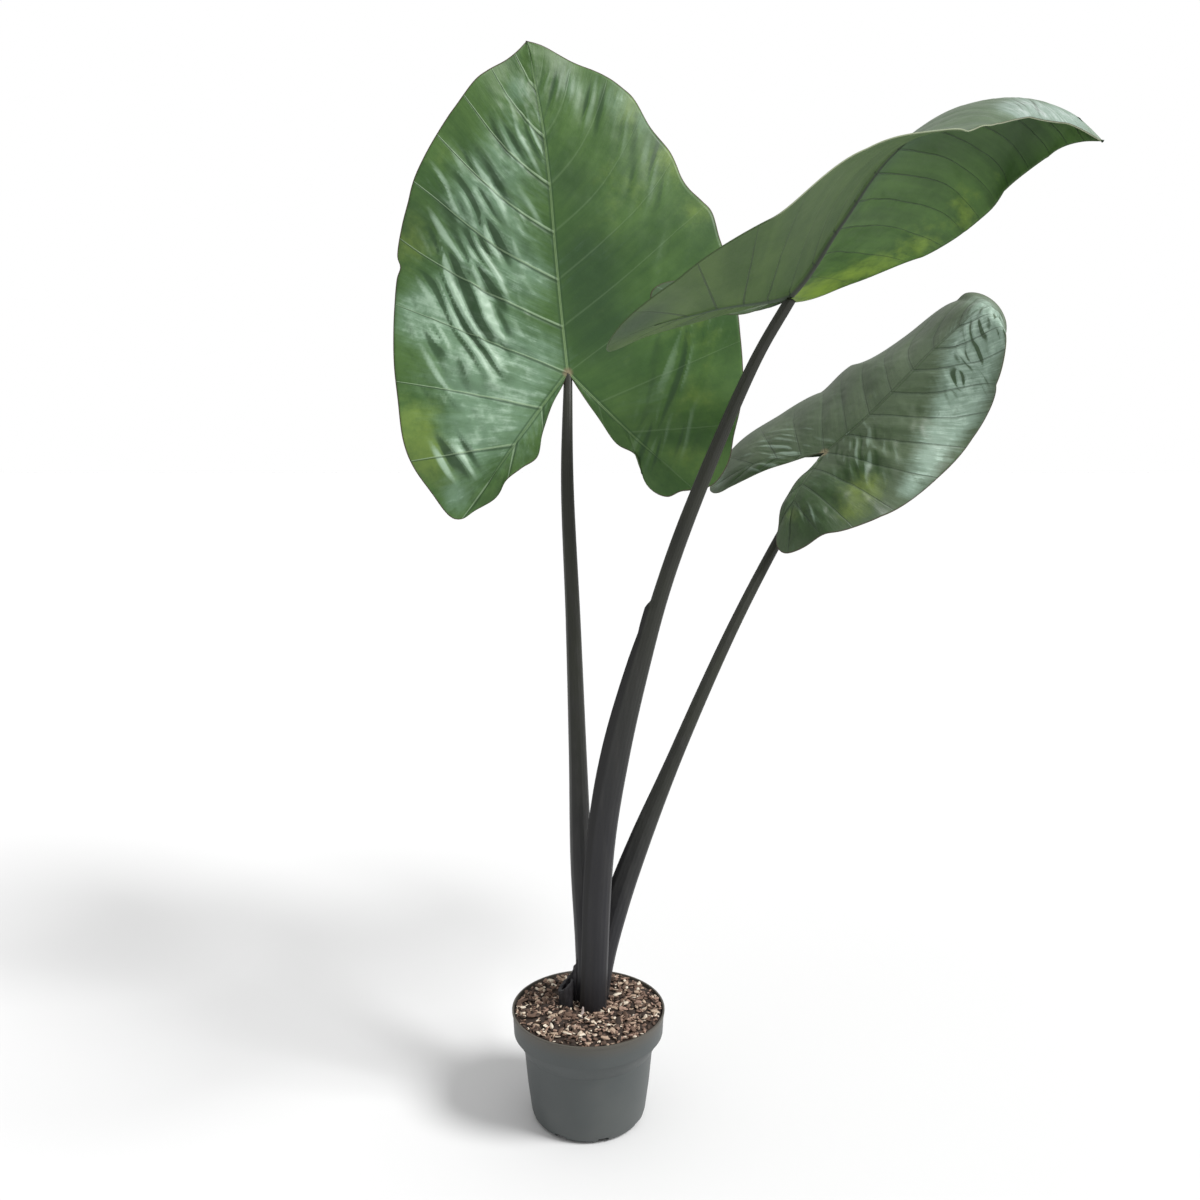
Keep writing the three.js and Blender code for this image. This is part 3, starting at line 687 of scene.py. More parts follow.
def flatPlaces(half, sweep, outward):
    # where a point of the half blade lies when it is flat, in blade lengths
    edgeAlong, edgeOut = edgeCurve(half)(sweep)
    ribAlong, ribOut = ribPlaces(half, sweep)
    bow = np.where(sweep <= 1, bladeLook["veinBow"] * np.sin(np.pi * np.minimum(sweep, 1)), 0)
    bow = bow * np.sin(np.pi * outward)
    return ribAlong + (edgeAlong - ribAlong) * outward - bow, ribOut + (edgeOut - ribOut) * outward


def veinCount(leaf, sweep):
    # whole numbers fall on the side veins
    first, second = leaf["veins"]
    return np.where(sweep <= 1, first * sweep, first + second * (sweep - 1))


def sweepOf(share):
    # the sweep value at a share of the grid's columns
    first, second, third = (count / sum(bladeLook["columns"]) for count in bladeLook["columns"])
    low = share / first
    middle = 1 + (share - first) / second
    high = 2 + (share - first - second) / third
    return np.clip(np.where(share <= first, low, np.where(share <= first + second, middle, high)), 0, 3)


def spotField(spots, along, out):
    # soft round spots on the flat blade: place, radius and strength of each
    total = np.zeros(len(along))
    for spotAlong, spotOut, radius, strength in spots:
        total += strength * np.exp(-((along - spotAlong) ** 2 + (out - spotOut) ** 2) / radius ** 2)
    return np.minimum(total, 1.0)


def foldField(leaf, along, out):
    # sharp-topped long folds, turned to run across the blade
    turn = math.radians(leaf["foldTurn"]) * np.where(out < 0, 1, -1)
    width, run = leaf["foldSize"]
    across = (along * np.sin(turn) + out * np.cos(turn)) * leaf["length"] / width
    lengthwise = (along * np.cos(turn) - out * np.sin(turn)) * leaf["length"] / run
    spots = np.stack([across, lengthwise, np.zeros(len(along))], axis=1)
    lumps = lumpsAt(spots, 1.0, leaf["number"] + 40, 2)
    return (1 - np.abs(lumps) * bladeLook["foldSharpness"]) * spotField(leaf["folds"], along, out)


def foldFlanks(leaf, side, along, out, folds):
    # which flank of a fold a point lies on, for the painted highlight and shade: lit above 0, shaded below
    turn = math.radians(leaf["foldTurn"]) * (-side)
    shift = bladeLook["flankShift"] * leaf["foldSize"][0] / leaf["length"]
    beside = foldField(leaf, along + shift * math.sin(turn), out + shift * math.cos(turn))
    return (folds - beside) * bladeLook["foldSharpness"]


def sheetRelief(leaf, place, sweep, outward, along, out, folds):
    # what stands above the bent sheet: sunk veins, a waved edge, puckers, folds and lifts
    swell = np.sin(np.pi * np.minimum(outward * 1.1, 1))  # calm at the rib and just inside the edge
    quilt = np.abs(np.sin(np.pi * veinCount(leaf, sweep))) ** bladeLook["veinRoundness"]
    fade = np.minimum(sweep * 3, 1) * np.minimum((3 - sweep) * 2, 1)  # no wave at the tip and the joint
    wave = np.sin(np.pi * leaf["waveCount"] * sweep + bladeLook["waveStarts"][place])
    flat = np.stack([along, out, np.zeros(len(along))], axis=1) * leaf["length"]
    lumps = lumpsAt(flat, bladeLook["lumpSize"], leaf["number"], 3)
    small = lumpsAt(flat, bladeLook["smallLumpSize"], leaf["number"] + 5, 2)
    height = leaf["veinDip"][place] * swell * (quilt - bladeLook["sheetLevel"])
    height += leaf["wave"][place] * wave * outward ** 3 * fade
    height += leaf["pucker"][place] * swell * (lumps + bladeLook["smallLumpShare"] * small)
    height += leaf["foldHeight"] * swell * folds
    for liftAlong, liftOut, radius, rise in leaf["lifts"]:
        height += rise * np.exp(-((along - liftAlong) ** 2 + (out - liftOut) ** 2) / radius ** 2)
    return height


def veinSteps(leaf, half, sweep, outward):
    # how far apart neighbouring side veins run at each point, in metres
    near = 0.002
    after, before = np.clip(sweep + near, 0, 3), np.clip(sweep - near, 0, 3)
    nearAlong, nearOut = flatPlaces(half, after, outward)
    farAlong, farOut = flatPlaces(half, before, outward)
    ribAlong, ribOut = ribPlaces(half, sweep)
    edgeAlong, edgeOut = edgeCurve(half)(sweep)
    vein = unit(np.stack([edgeAlong - ribAlong, edgeOut - ribOut], axis=1))
    moved = np.stack([nearAlong - farAlong, nearOut - farOut], axis=1)
    gap = np.abs(moved[:, 0] * vein[:, 1] - moved[:, 1] * vein[:, 0]) * leaf["length"] / (after - before)
    first, second = leaf["veins"]
    return gap / np.where(sweep <= 1, first, second)


def sheetMarks(leaf, half, side, sweep, outward, along, out, folds):
    # what the paints read from the sheet; the distances are in metres
    reach = np.abs(out)
    ribAlong, ribOut = ribPlaces(half, sweep)
    edgeAlong, edgeOut = edgeCurve(half)(sweep)
    marks = {
        "half": np.full(len(along), side),
        "ribAway": np.hypot(along - ribAlong, reach - ribOut) * leaf["length"],
        "ribSize": np.where(sweep <= 1, sweep, bladeLook["lobeRibSize"] * np.abs(2 - sweep)),
        "edgeAway": np.hypot(edgeAlong - along, edgeOut - reach) * leaf["length"],
        "jointAway": np.hypot(along, reach) * leaf["length"],
        "veinStep": veinSteps(leaf, half, sweep, outward),
        "flank": foldFlanks(leaf, side, along, out, folds),
    }
    for kind, spots in leaf["spots"].items():
        marks[kind] = spotField(spots, along, out)
    return marks


def makeHalf(leaf, place):
    # one half of a blade: 0 is the left half, 1 the right
    side = (-1, 1)[place]
    half = leaf["halves"][place]
    sheet, across, up = addGrid("halfBlade", sum(bladeLook["columns"]), bladeLook["rows"])
    sweep = sweepOf(across)
    outward = up ** bladeLook["rowCrowding"]
    along, out = flatPlaces(half, sweep, outward)
    out = side * np.maximum(out, 1e-7)
    folds = foldField(leaf, along, out)
    height = sheetRelief(leaf, place, sweep, outward, along, out, folds)
    writePoints(sheet, bladePoints(leaf, along, out) + bladeNormals(leaf, along, out) * height[:, None])
    writeUv(sheet, "veins", veinCount(leaf, sweep) + 20 * place, outward)  # 20 keeps the halves apart
    writeUv(sheet, "flat", along, out)
    for name, values in sheetMarks(leaf, half, side, sweep, outward, along, out, folds).items():
        writeAttribute(sheet, name, values)
    if side < 0:
        sheet.data.flip_normals()
    return sheet


def thickenBlade(blade):
    # thickness on the underside, with ridges along the midrib and the ribs of the lobes
    thin, low = bladeLook["thinRib"], bladeLook["lowRib"]
    size = readAttribute(blade, "ribSize") ** bladeLook["ribTaper"]
    away = readAttribute(blade, "ribAway") / (bladeLook["ribWidth"] * (thin + (1 - thin) * size))
    ridge = bladeLook["ribHeight"] * (low + (1 - low) * size) * np.sqrt(np.clip(1 - away ** 2, 0, 1))
    full = bladeLook["thickness"] + bladeLook["ribHeight"]
    group = blade.vertex_groups.new(name="thick")
    for index, value in enumerate((bladeLook["thickness"] + ridge) / full):
        group.add([index], float(value), "REPLACE")
    applyModifier(
        blade, "SOLIDIFY", "thickness", thickness=full, offset=-1, vertex_group="thick",
        material_offset=1, material_offset_rim=1, use_quality_normals=True,
    )


def makeBlade(leaf, paints):
    blade = joinPieces([makeHalf(leaf, 0), makeHalf(leaf, 1)], f"leafBlade{leaf['number']}")
    mergeDoubles(blade, 1e-6)
    for paint in paints:
        blade.data.materials.append(paint.material)
    shadeSmooth(blade)
    thickenBlade(blade)
    return blade


# upper sides: "flank" is the strength of the painted highlight and painted shade on the fold flanks,
# "veinSides" how clearly the veins show on the left and the right half, "calmRight" how far the right
# half loses its painted highlight on the fold flanks, and "marks" the strength of painted crumple shade.
# The pale and sheen tints are painted sheen and highlight, the veinShade tint painted shade, and the dark
# tint both darker green and painted shade.
upperLooks = {
    1: {
        "tints": {
            "low": (56, 88, 42), "high": (78, 110, 54), "dark": (44, 72, 40), "yellow": (114, 138, 62),
            "pale": (112, 142, 116), "sheen": (160, 186, 162), "vein": (136, 160, 126),
            "veinShade": (44, 68, 44), "rib": (112, 138, 92), "edge": (74, 58, 50), "joint": (126, 118, 90),
        },
        "veinWidth": 0.0017, "veinSides": (1.0, 0.16), "veinRise": 0.6, "ribWidth": 0.0026,
        "flank": (0.75, 0.8), "calmRight": 0.72, "marks": 0.0, "coat": 0.03, "rough": 0.4,
    },
    2: {
        "tints": {
            "low": (58, 86, 46), "high": (74, 102, 58), "dark": (36, 58, 30), "yellow": (112, 136, 66),
            "pale": (140, 162, 150), "sheen": (196, 208, 202), "vein": (150, 172, 150),
            "veinShade": (70, 92, 78), "rib": (120, 142, 100), "edge": (74, 58, 50), "joint": (126, 118, 90),
        },
        "veinWidth": 0.0011, "veinSides": (0.6, 0.6), "veinRise": 0.5, "ribWidth": 0.0020,
        "flank": (0.3, 0.8), "calmRight": 0.0, "marks": 0.5, "coat": 0.2, "rough": 0.32,
    },
    3: {
        "tints": {
            "low": (70, 86, 62), "high": (86, 102, 76), "dark": (46, 70, 34), "yellow": (116, 134, 64),
            # leaf three's side veins are painted dark: painted shade in the sunk creases
            "pale": (146, 170, 154), "sheen": (188, 212, 196), "vein": (50, 64, 48),
            "veinShade": (74, 90, 70), "rib": (70, 84, 60), "edge": (74, 58, 50), "joint": (126, 118, 90),
        },
        "veinWidth": 0.0014, "veinSides": (0.5, 0.8), "veinRise": -1.0, "ribWidth": 0.0018,
        "flank": (0.4, 0.85), "calmRight": 0.4, "marks": 0.5, "coat": 0.1, "rough": 0.38,
    },
}


def veinLine(paint, width):
    # how far a point lies from the nearest side vein, in widths of that vein; thinner outward
    veins = paint.uv("veins")
    count = paint.split(veins, "X")
    outward = paint.split(veins, "Y")
    away = (count.math("FRACT", count + 0.5) - 0.5) * paint.attribute("veinStep")
    return away / ((1.2 - outward * 0.8) * width)


def upperPaint(number):
    look = upperLooks[number]
    tints = tintsOf(look)
    paint = Paint(
        f"leafUpperSide{number}", Coat_Weight=look["coat"], Coat_Roughness=0.35, Specular_IOR_Level=0.32)
    place = paint.place()
    bands = paint.cloud(paint.stretched(paint.uv("veins"), (1.6, 0.8, 1.0)), 1.0, 4.0, 0.6)
    streaks = paint.cloud(paint.stretched(paint.uv("veins"), (4.5, 1.6, 1.0)), 1.6, 4.0, 0.65)
    soft = paint.cloud(place, 16.0, 5.0, 0.65)
    mid = paint.cloud(place, 42.0, 4.0, 0.6)
    fine = paint.cloud(place, 110.0, 3.0, 0.6)

    # broad patches: darker green that is partly painted shade, yellow green, painted sheen, a painted
    # highlight that also lowers the roughness, and painted crumple shade
    pale = paint.attribute("pale")
    darkAndShadePatch = (paint.attribute("dark") * 0.8 + (soft - 0.5) * 0.8 + (streaks - 0.5) * 0.5).band(0.1, 1.0)
    yellowPatch = (paint.attribute("yellow") * 0.8 + (soft - 0.5) * 1.2 + (mid - 0.5) * 0.9).band(0.15, 1.1)
    palePatch = (pale * 0.9 + (soft - 0.5) * 1.0 + (streaks - 0.5) * 0.9).band(0.1, 1.0)
    sheen = (pale * 0.7 + (mid - 0.5) * 1.5 + (streaks - 0.5) * 1.6).band(0.55, 1.15)
    # marks: painted shade of the crumples in the pale sheen
    marks = mid.band(0.58, 0.70) * pale.band(0.4, 0.8) * look["marks"]

    # painted highlight on the lit flanks of the folds, painted shade on the shaded flanks
    right = paint.attribute("half").band(-0.5, 0.5)
    flank = paint.attribute("flank") + (mid - 0.5) * 0.5
    lit, shaded = look["flank"]
    litFlank = flank.band(0.15, 0.9) * ((1 - right * look["calmRight"]) * lit)
    shadedFlank = (0 - flank).band(0.12, 0.8) * shaded

    # side veins with a painted shade along one side of each, and the midrib with a painted shade along both
    left, difference = look["veinSides"][0], look["veinSides"][1] - look["veinSides"][0]
    shown = right * difference + left
    away = veinLine(paint, look["veinWidth"])
    vein = (1 - abs(away).band(0.3, 1.0)) * shown
    veinShade = away.band(0.7, 1.3) * (1 - away.band(1.6, 3.2)) * shown
    ribAway, width = paint.attribute("ribAway"), look["ribWidth"]
    ribShade = ribAway.band(width, width * 1.2) * (1 - ribAway.band(width * 1.4, width * 2.6))
    groove = 1 - ribAway.band(0.0, width * 0.3)
    rib = (1 - ribAway.band(width * 0.4, width)) * (1 - groove * 0.5)

    base = paint.blend((bands * 0.55 + soft * 0.45).band(0.36, 0.64), tints["low"], tints["high"])
    base = paint.layers(
        base,
        (darkAndShadePatch * 0.9, tints["dark"]),
        (yellowPatch * 0.8, tints["yellow"]),
        (palePatch * 0.85, tints["pale"]),
        (sheen * 0.8, tints["sheen"]),
        (litFlank, tints["sheen"]),
        (shadedFlank, tints["dark"]),
        (marks, tints["dark"]),
        (fine.band(0.5, 0.8) * 0.2, tints["dark"]),
        (veinShade * 0.65, tints["veinShade"]),
        (vein * 0.8, tints["vein"]),
        (ribShade * 0.6, tints["dark"]),
        (rib * (0.35 + paint.attribute("ribSize") * 0.6), tints["rib"]),
        (1 - paint.attribute("edgeAway").band(0.0006, 0.0018), tints["edge"]),
        (1 - paint.attribute("jointAway").band(0.003, 0.010), tints["joint"]),
    )
    grain = fine * 0.10 + mid * 0.3 + streaks * 0.6
    rise = vein * look["veinRise"] - veinShade * 0.4
    paint.finish(base, fine * 0.16 + look["rough"] - sheen * 0.06, grain + rise + rib * 0.6, 0.0020, 0.5)
    return paint


# undersides: the left and the right half differ a little in green
underLook = {
    "tints": {
        "leftLow": (58, 88, 42), "leftHigh": (80, 114, 54),
        "rightLow": (60, 86, 40), "rightHigh": (77, 102, 51),
        "dark": (54, 76, 48), "yellow": (130, 158, 62), "vein": (48, 64, 44), "nearRib": (66, 88, 74),
        "paleEdge": (148, 158, 128), "darkEdge": (62, 82, 44),
        "thinRib": (60, 80, 56), "thickRib": (56, 62, 52),
    },
    "veinWidth": 0.0014,
}


def underPaint():
    tints = tintsOf(underLook)
    paint = Paint("leafUnderSide", Specular_IOR_Level=0.35)
    place = paint.place()
    bands = paint.cloud(paint.stretched(paint.uv("veins"), (1.6, 0.8, 1.0)), 1.0, 4.0, 0.6)
    soft = paint.cloud(place, 14.0, 5.0, 0.65)
    mid = paint.cloud(place, 42.0, 4.0, 0.6)
    fine = paint.cloud(place, 110.0, 3.0, 0.6)
    outward = paint.split(paint.uv("veins"), "Y")
    vein = 1 - abs(veinLine(paint, underLook["veinWidth"])).band(0.3, 1.0)
    left = 1 - paint.attribute("half").band(-0.5, 0.5)
    lobe = 1 - paint.split(paint.uv("flat"), "X").band(-0.02, 0.04)
    # the dark spots: partly darker green, partly painted shade
    darkAndShadePatch = (paint.attribute("dark") * 0.9 + (soft - 0.5) * 0.8).band(0.15, 1.0)
    yellowPatch = (paint.attribute("yellow") * 0.9 + (soft - 0.5) * 1.3 + (mid - 0.5) * 1.1).band(0.3, 1.15)
    size = paint.attribute("ribSize")
    ribAway = paint.attribute("ribAway") / (bladeLook["thinRib"] + size * (1 - bladeLook["thinRib"]))
    shade = (bands * 0.5 + soft * 0.5).band(0.36, 0.64)
    rightBase = paint.blend(shade, tints["rightLow"], tints["rightHigh"])
    leftBase = paint.blend(shade, tints["leftLow"], tints["leftHigh"])
    base = paint.layers(
        paint.blend(left, rightBase, leftBase),
        (darkAndShadePatch, tints["dark"]),
        (yellowPatch * left, tints["yellow"]),
        (vein * 0.7, tints["vein"]),
        ((1 - outward.band(0.0, 0.3)) * 0.5 * left, tints["nearRib"]),
        # a pale painted highlight on the edge of the right half outside the lobe; darker green elsewhere
        (
            1 - paint.attribute("edgeAway").band(0.0006, 0.0020),
            paint.blend(left + lobe, tints["paleEdge"], tints["darkEdge"]),
        ),
        (
            1 - ribAway.band(bladeLook["ribWidth"] * 0.75, bladeLook["ribWidth"] * 1.05),
            paint.blend(size.band(0.2, 1.0), tints["thinRib"], tints["thickRib"]),
        ),
    )
    paint.finish(base, fine * 0.15 + 0.45, fine * 0.15 + mid * 0.4 + vein * 0.8, 0.0016, 0.5)
    return paint


# leaf stalks: round stems whose lower part widens into a sheath with one thin open edge
stalkLook = {
    "columns": 64,
    "rows": 260,
    "edgeSharpness": 26.0,
    "grooves": [(0.00018, 17, 0), (0.00025, 5, 40)],  # depth, count, first in degrees
    "wing": 0.006,  # of a full sheath edge
    "topWing": 0.0058,  # of a sheath that ends in a tip
    "topRise": 0.08,  # in entries below that tip
    "topEnd": 1.3,
    "tints": {
        "foot": (33, 33, 37), "top": (44, 46, 37), "streak": (54, 53, 52), "dark": (26, 25, 28),
        # near black on the open edge of the sheath: painted shade of the gap inside it
        "wing": (14, 14, 15),
    },
}


def pathPoints(corners, places):
    # the same curve as the solids: centripetal Catmull-Rom through the corners
    points = np.asarray(corners, float)
    points = np.concatenate([[2 * points[0] - points[1]], points, [2 * points[-1] - points[-2]]])
    found = []
    for place in places:
        where = place * (len(points) - 3)
        index = min(int(where), len(points) - 4)
        f = where - index
        p0, p1, p2, p3 = points[index:index + 4]
        gaps = [max(np.linalg.norm(b - a) ** 0.5, 1e-6) for a, b in ((p0, p1), (p1, p2), (p2, p3))]
        t1 = ((p1 - p0) / gaps[0] - (p2 - p0) / (gaps[0] + gaps[1]) + (p2 - p1) / gaps[1]) * gaps[1]
        t2 = ((p2 - p1) / gaps[1] - (p3 - p1) / (gaps[1] + gaps[2]) + (p3 - p2) / gaps[2]) * gaps[1]
        c2 = -3 * p1 + 3 * p2 - 2 * t1 - t2
        c3 = 2 * p1 - 2 * p2 + t1 + t2
        found.append(p1 + t1 * f + c2 * f * f + c3 * f ** 3)
    return np.array(found)


def rollGrid(tube, centres, row, angle, reach):
    # lays a grid round a line of centres; angles are from the side toward the back
    direction = unit(np.gradient(centres, axis=0))
    guide = np.array([0.0, -1.0, 0.0])
    front = unit(guide - direction * (direction @ guide)[:, None])
    side = np.cross(direction, front)
    sideways, forward = np.cos(angle) * reach, np.sin(angle) * reach
    writePoints(tube, centres[row] + side[row] * sideways[:, None] - front[row] * forward[:, None])


def closeTube(tube):
    # joins the seam of a rolled grid and caps its two ends
    mergeDoubles(tube, 1e-7)
    editMesh(tube, "DESELECT")
    bpy.ops.mesh.select_non_manifold()
    bpy.ops.mesh.edge_face_add()
    turnOutward(tube)
    shadeSmooth(tube)


def makeStalk(leaf, paint):
    joint = np.array(leaf["stations"][2][:3], float)
    normal = bladeNormals(leaf, np.array([0.0]), np.array([1e-7]))[0]
    end = joint - normal * leaf["widths"][-1] / 2
    places = np.linspace(0, 1, stalkLook["rows"] + 1)
    centres = pathPoints(leaf["path"] + [tuple(end)], places) / 1000
    entry = places * (len(leaf["widths"]) - 1)
    radius = smoothValues(leaf["widths"], entry) / 2000
    wing = np.maximum(smoothValues(leaf["sheath"], entry), 0) / 1000
    if "sheathTop" in leaf:
        below = leaf["sheathTop"] - entry
        tip = np.clip(below / stalkLook["topRise"], 0, 1) ** 0.5 * np.clip(stalkLook["topEnd"] - below, 0, 1)
        wing = np.maximum(wing, stalkLook["topWing"] * tip) * (below > 0)

    stalk, across, up = addGrid(f"leafStalk{leaf['number']}", stalkLook["columns"], stalkLook["rows"])
    row = np.rint(up * stalkLook["rows"]).astype(int)
    around = across * 360.0
    lip = np.exp(-(np.minimum(around, 360 - around) / stalkLook["edgeSharpness"]) ** 1.3)
    reach = radius[row] + wing[row] * lip
    for depth, count, first in stalkLook["grooves"]:
        reach += depth * np.cos(np.radians(around * count + first))
    rollGrid(stalk, centres, row, np.radians(leaf["sheathAngle"] + around), reach)
    writeUv(stalk, "round", across, up * 10)
    writeAttribute(stalk, "height", up)
    writeAttribute(stalk, "wing", lip * np.minimum(wing[row] / stalkLook["wing"], 1))
    closeTube(stalk)
    stalk.data.materials.append(paint.material)
    return stalk


def stalkPaint():
    tints = tintsOf(stalkLook)
    paint = Paint("darkStalk", Specular_IOR_Level=0.35)
    place = paint.place()
    streaks = paint.cloud(paint.stretched(place, (1.0, 1.0, 0.06)), 120.0, 3.0, 0.6)
    soft = paint.cloud(place, 14.0, 3.0, 0.5)
    base = paint.layers(
        paint.blend(paint.attribute("height").band(0.15, 0.75), tints["foot"], tints["top"]),
        (streaks.band(0.4, 0.75) * 0.4, tints["streak"]),
        (soft.band(0.45, 0.75) * 0.3, tints["dark"]),
        # painted shade along the sheath's open edge
        (paint.attribute("wing").band(0.35, 0.6) * 0.8, tints["wing"]),
    )
    paint.finish(base, streaks * 0.2 + 0.32, streaks, 0.0006, 0.4)
    return paint


# the pot's wall as (radius, height), up the outside from the underside and down the inside
potLook = {
    "sides": 120,
    "outer": [
        (0.014, 0.0), (0.016, 0.003), (0.061, 0.003), (0.063, 0.0), (0.068, 0.0), (0.0735, 0.002),
        (0.0772, 0.0065), (0.0792, 0.013), (0.0842, 0.052), (0.0886, 0.1010), (0.0903, 0.1035),
        (0.0996, 0.1215), (0.1000, 0.1232), (0.1026, 0.1240), (0.1040, 0.152), (0.105, 0.153), (0.105, 0.156),
    ],
    "inner": [
        (0.1028, 0.156), (0.102, 0.152), (0.1003, 0.127), (0.0980, 0.1234), (0.0885, 0.1045),
        (0.0858, 0.1010), (0.0770, 0.0135), (0.073, 0.0066), (0.068, 0.0054),
    ],
    "notches": 8,
    "notchSize": (0.022, 0.015, 0.016),
    "notchRadius": 0.079,
    "notchTurn": 0.35,
    "bevel": 0.0006,
    "warmHeights": (0.132, 0.158),
    "tints": {"low": (70, 75, 75), "high": (78, 82, 81), "warm": (84, 77, 66)},
}


def makeNotchCutter():
    cutters = []
    far = potLook["notchRadius"]
    for index in range(potLook["notches"]):
        angle = 2 * math.pi * (index + potLook["notchTurn"]) / potLook["notches"]
        deselectAll()
        bpy.ops.mesh.primitive_cube_add(
            size=1, location=(far * math.cos(angle), far * math.sin(angle), 0), rotation=(0, 0, angle))
        cutter = bpy.context.active_object
        cutter.scale = potLook["notchSize"]
        applyPlace(cutter)
        cutters.append(cutter)
    return joinPieces(cutters, "notchCutter")


def makePot(paint):
    deselectAll()
    radius, height = potLook["outer"][0]
    bpy.ops.mesh.primitive_circle_add(
        vertices=potLook["sides"], radius=radius, fill_type="NGON", location=(0, 0, height))
    pot = bpy.context.active_object
    editMesh(pot)
    for nextRadius, nextHeight in potLook["outer"][1:] + potLook["inner"]:
        bpy.ops.mesh.extrude_region_move(TRANSFORM_OT_translate={"value": (0, 0, nextHeight - height)})
        share = nextRadius / radius
        bpy.ops.transform.resize(value=(share, share, 1), center_override=(0, 0, nextHeight))
        radius, height = nextRadius, nextHeight
    turnOutward(pot)
    cutter = makeNotchCutter()
    applyModifier(pot, "BOOLEAN", "notches", operation="DIFFERENCE", object=cutter, solver="EXACT")
    bpy.data.objects.remove(cutter)
    applyModifier(
        pot, "BEVEL", "softEdges", width=potLook["bevel"], segments=2, limit_method="ANGLE",
        angle_limit=math.radians(28))
    pot.name = "nurseryPot"
    pot.data.materials.append(paint.material)
    shadeByAngle(pot, 35)
    return pot


def potPaint():
    tints = tintsOf(potLook)
    paint = Paint("mouldedGrey")
    place = paint.place()
    soft = paint.cloud(place, 9.0, 3.0, 0.55)
    grain = paint.cloud(place, 900.0, 2.0, 0.6)
    warm = paint.split(place, "Z").band(*potLook["warmHeights"]) * 0.7
    base = paint.layers(paint.blend(soft.band(0.4, 0.7), tints["low"], tints["high"]), (warm, tints["warm"]))
    paint.finish(base, grain * 0.15 + 0.45, grain, 0.0002, 0.35)
    return paint


# the mix: lumpy ground with loose chips of bark, husk and fibre on it
soilLook = {
    "edgeHeight": 0.1530,
    "edgeRadius": 0.101,
    "heap": 0.006,
    "dip": 0.001,  # of the ground between the chips
    "bump": 0.0016,
    "bumpSizes": (0.009, 0.008),
    "depth": 0.03,
    "middle": 0.1355,
    "footShare": 0.96,
    "rings": 40,
    "sides": 120,
    "lump": 0.0022,
    "lumpSize": 0.006,
    "chips": 1500,
    "seed": 4,
    "chipKinds": 6,
    "chipReach": 0.0995,
    "chipLimit": 0.1015,
    "chipWidths": (0.42, 0.1),  # in chip lengths: the narrowest, and the step to the next
    "chipDepths": (0.22, 0.06),
    "chipLump": 0.35,
    "bluntness": 0.7,
    "smallest": 0.003,
    "small": (0.0035, 0.0085),
    "large": (0.008, 0.013),
    "smallShare": 0.85,
    "tilt": 0.35,
    "chipRise": 0.0022,
    "groundTone": 0.05,
    # the dark chips added at the left are painted shade
    "darkShare": (0.24, 0.32),  # everywhere, and more of them at the shaded left
    "brownShare": 0.83,
    "darkTones": (0.0, 0.3),
    "brownTones": (0.3, 0.78),
    "paleTones": (0.8, 1.0),
    "tints": {
        "peat": (46, 36, 30), "bark": (106, 84, 70), "husk": (158, 130, 114), "paleHusk": (182, 160, 138),
        "white": (232, 220, 200), "fibre": (76, 60, 50),
    },
}


def soilHeight(x, y):
    far = min(math.hypot(x, y) / soilLook["edgeRadius"], 1)
    alongX, alongY = soilLook["bumpSizes"]
    bumps = soilLook["bump"] * math.sin(x / alongX + 1) * math.cos(y / alongY) * (1 - far ** 6)
    return soilLook["edgeHeight"] + soilLook["heap"] * (1 - far ** 4) + bumps


def makeGround():
    deselectAll()
    edge = soilLook["edgeRadius"]
    bpy.ops.mesh.primitive_cylinder_add(
        vertices=soilLook["sides"], radius=edge, depth=soilLook["depth"], end_fill_type="NGON",
        location=(0, 0, soilLook["middle"]))
    ground = bpy.context.active_object
    editMesh(ground, "DESELECT")
    bpy.ops.object.mode_set(mode="OBJECT")
    for face in ground.data.polygons:
        face.select = face.normal.z > 0.9
    bpy.ops.object.mode_set(mode="EDIT")
    for ring in range(soilLook["rings"] - 1):
        bpy.ops.mesh.inset(thickness=edge / soilLook["rings"])
    bpy.ops.mesh.poke()
    bpy.ops.object.mode_set(mode="OBJECT")
    applyPlace(ground)
    points = readPoints(ground)
    lumps = lumpsAt(points, soilLook["lumpSize"], 3, 3)
    for index, (x, y, z) in enumerate(points):
        if z > soilLook["middle"]:
            calm = 0.3 + 0.7 * min(1, (edge - math.hypot(x, y)) / soilLook["lumpSize"])
            points[index, 2] = soilHeight(x, y) + soilLook["lump"] * lumps[index] * calm - soilLook["dip"]
        else:
            points[index, :2] *= soilLook["footShare"]
    writePoints(ground, points)
    writeAttribute(ground, "tone", np.full(len(points), soilLook["groundTone"]))
    return ground


def makeChipKinds():
    # flat, blunt-ended chips, one long
    width, wider = soilLook["chipWidths"]
    depth, deeper = soilLook["chipDepths"]
    kinds = []
    for kind in range(soilLook["chipKinds"]):
        deselectAll()
        bpy.ops.mesh.primitive_ico_sphere_add(subdivisions=2, radius=0.5, location=(0, 0, 0))
        chip = bpy.context.active_object
        shape = readPoints(chip)
        lumps = lumpsAt(shape, 0.7, 11 + kind, 2)
        shape = np.sign(shape) * np.abs(shape * 2) ** soilLook["bluntness"] * 0.5
        shape *= (1 + soilLook["chipLump"] * lumps)[:, None]
        writePoints(chip, shape * [1.0, width + wider * (kind % 3), depth + deeper * (kind % 2)])
        kinds.append(chip)
    return kinds


def chipTone(rng, x, y):
    # 0 is dark peat, 1 nearly white
    # more dark chips toward the left and the back, as painted shade
    left = min(1, max(0, 0.5 - 0.5 * x / 0.1 + 4 * y))
    everywhere, more = soilLook["darkShare"]
    pick = rng.random()
    if pick < everywhere + more * left:
        return rng.uniform(*soilLook["darkTones"])
    if pick < soilLook["brownShare"]:
        return rng.uniform(*soilLook["brownTones"])
    return rng.uniform(*soilLook["paleTones"])


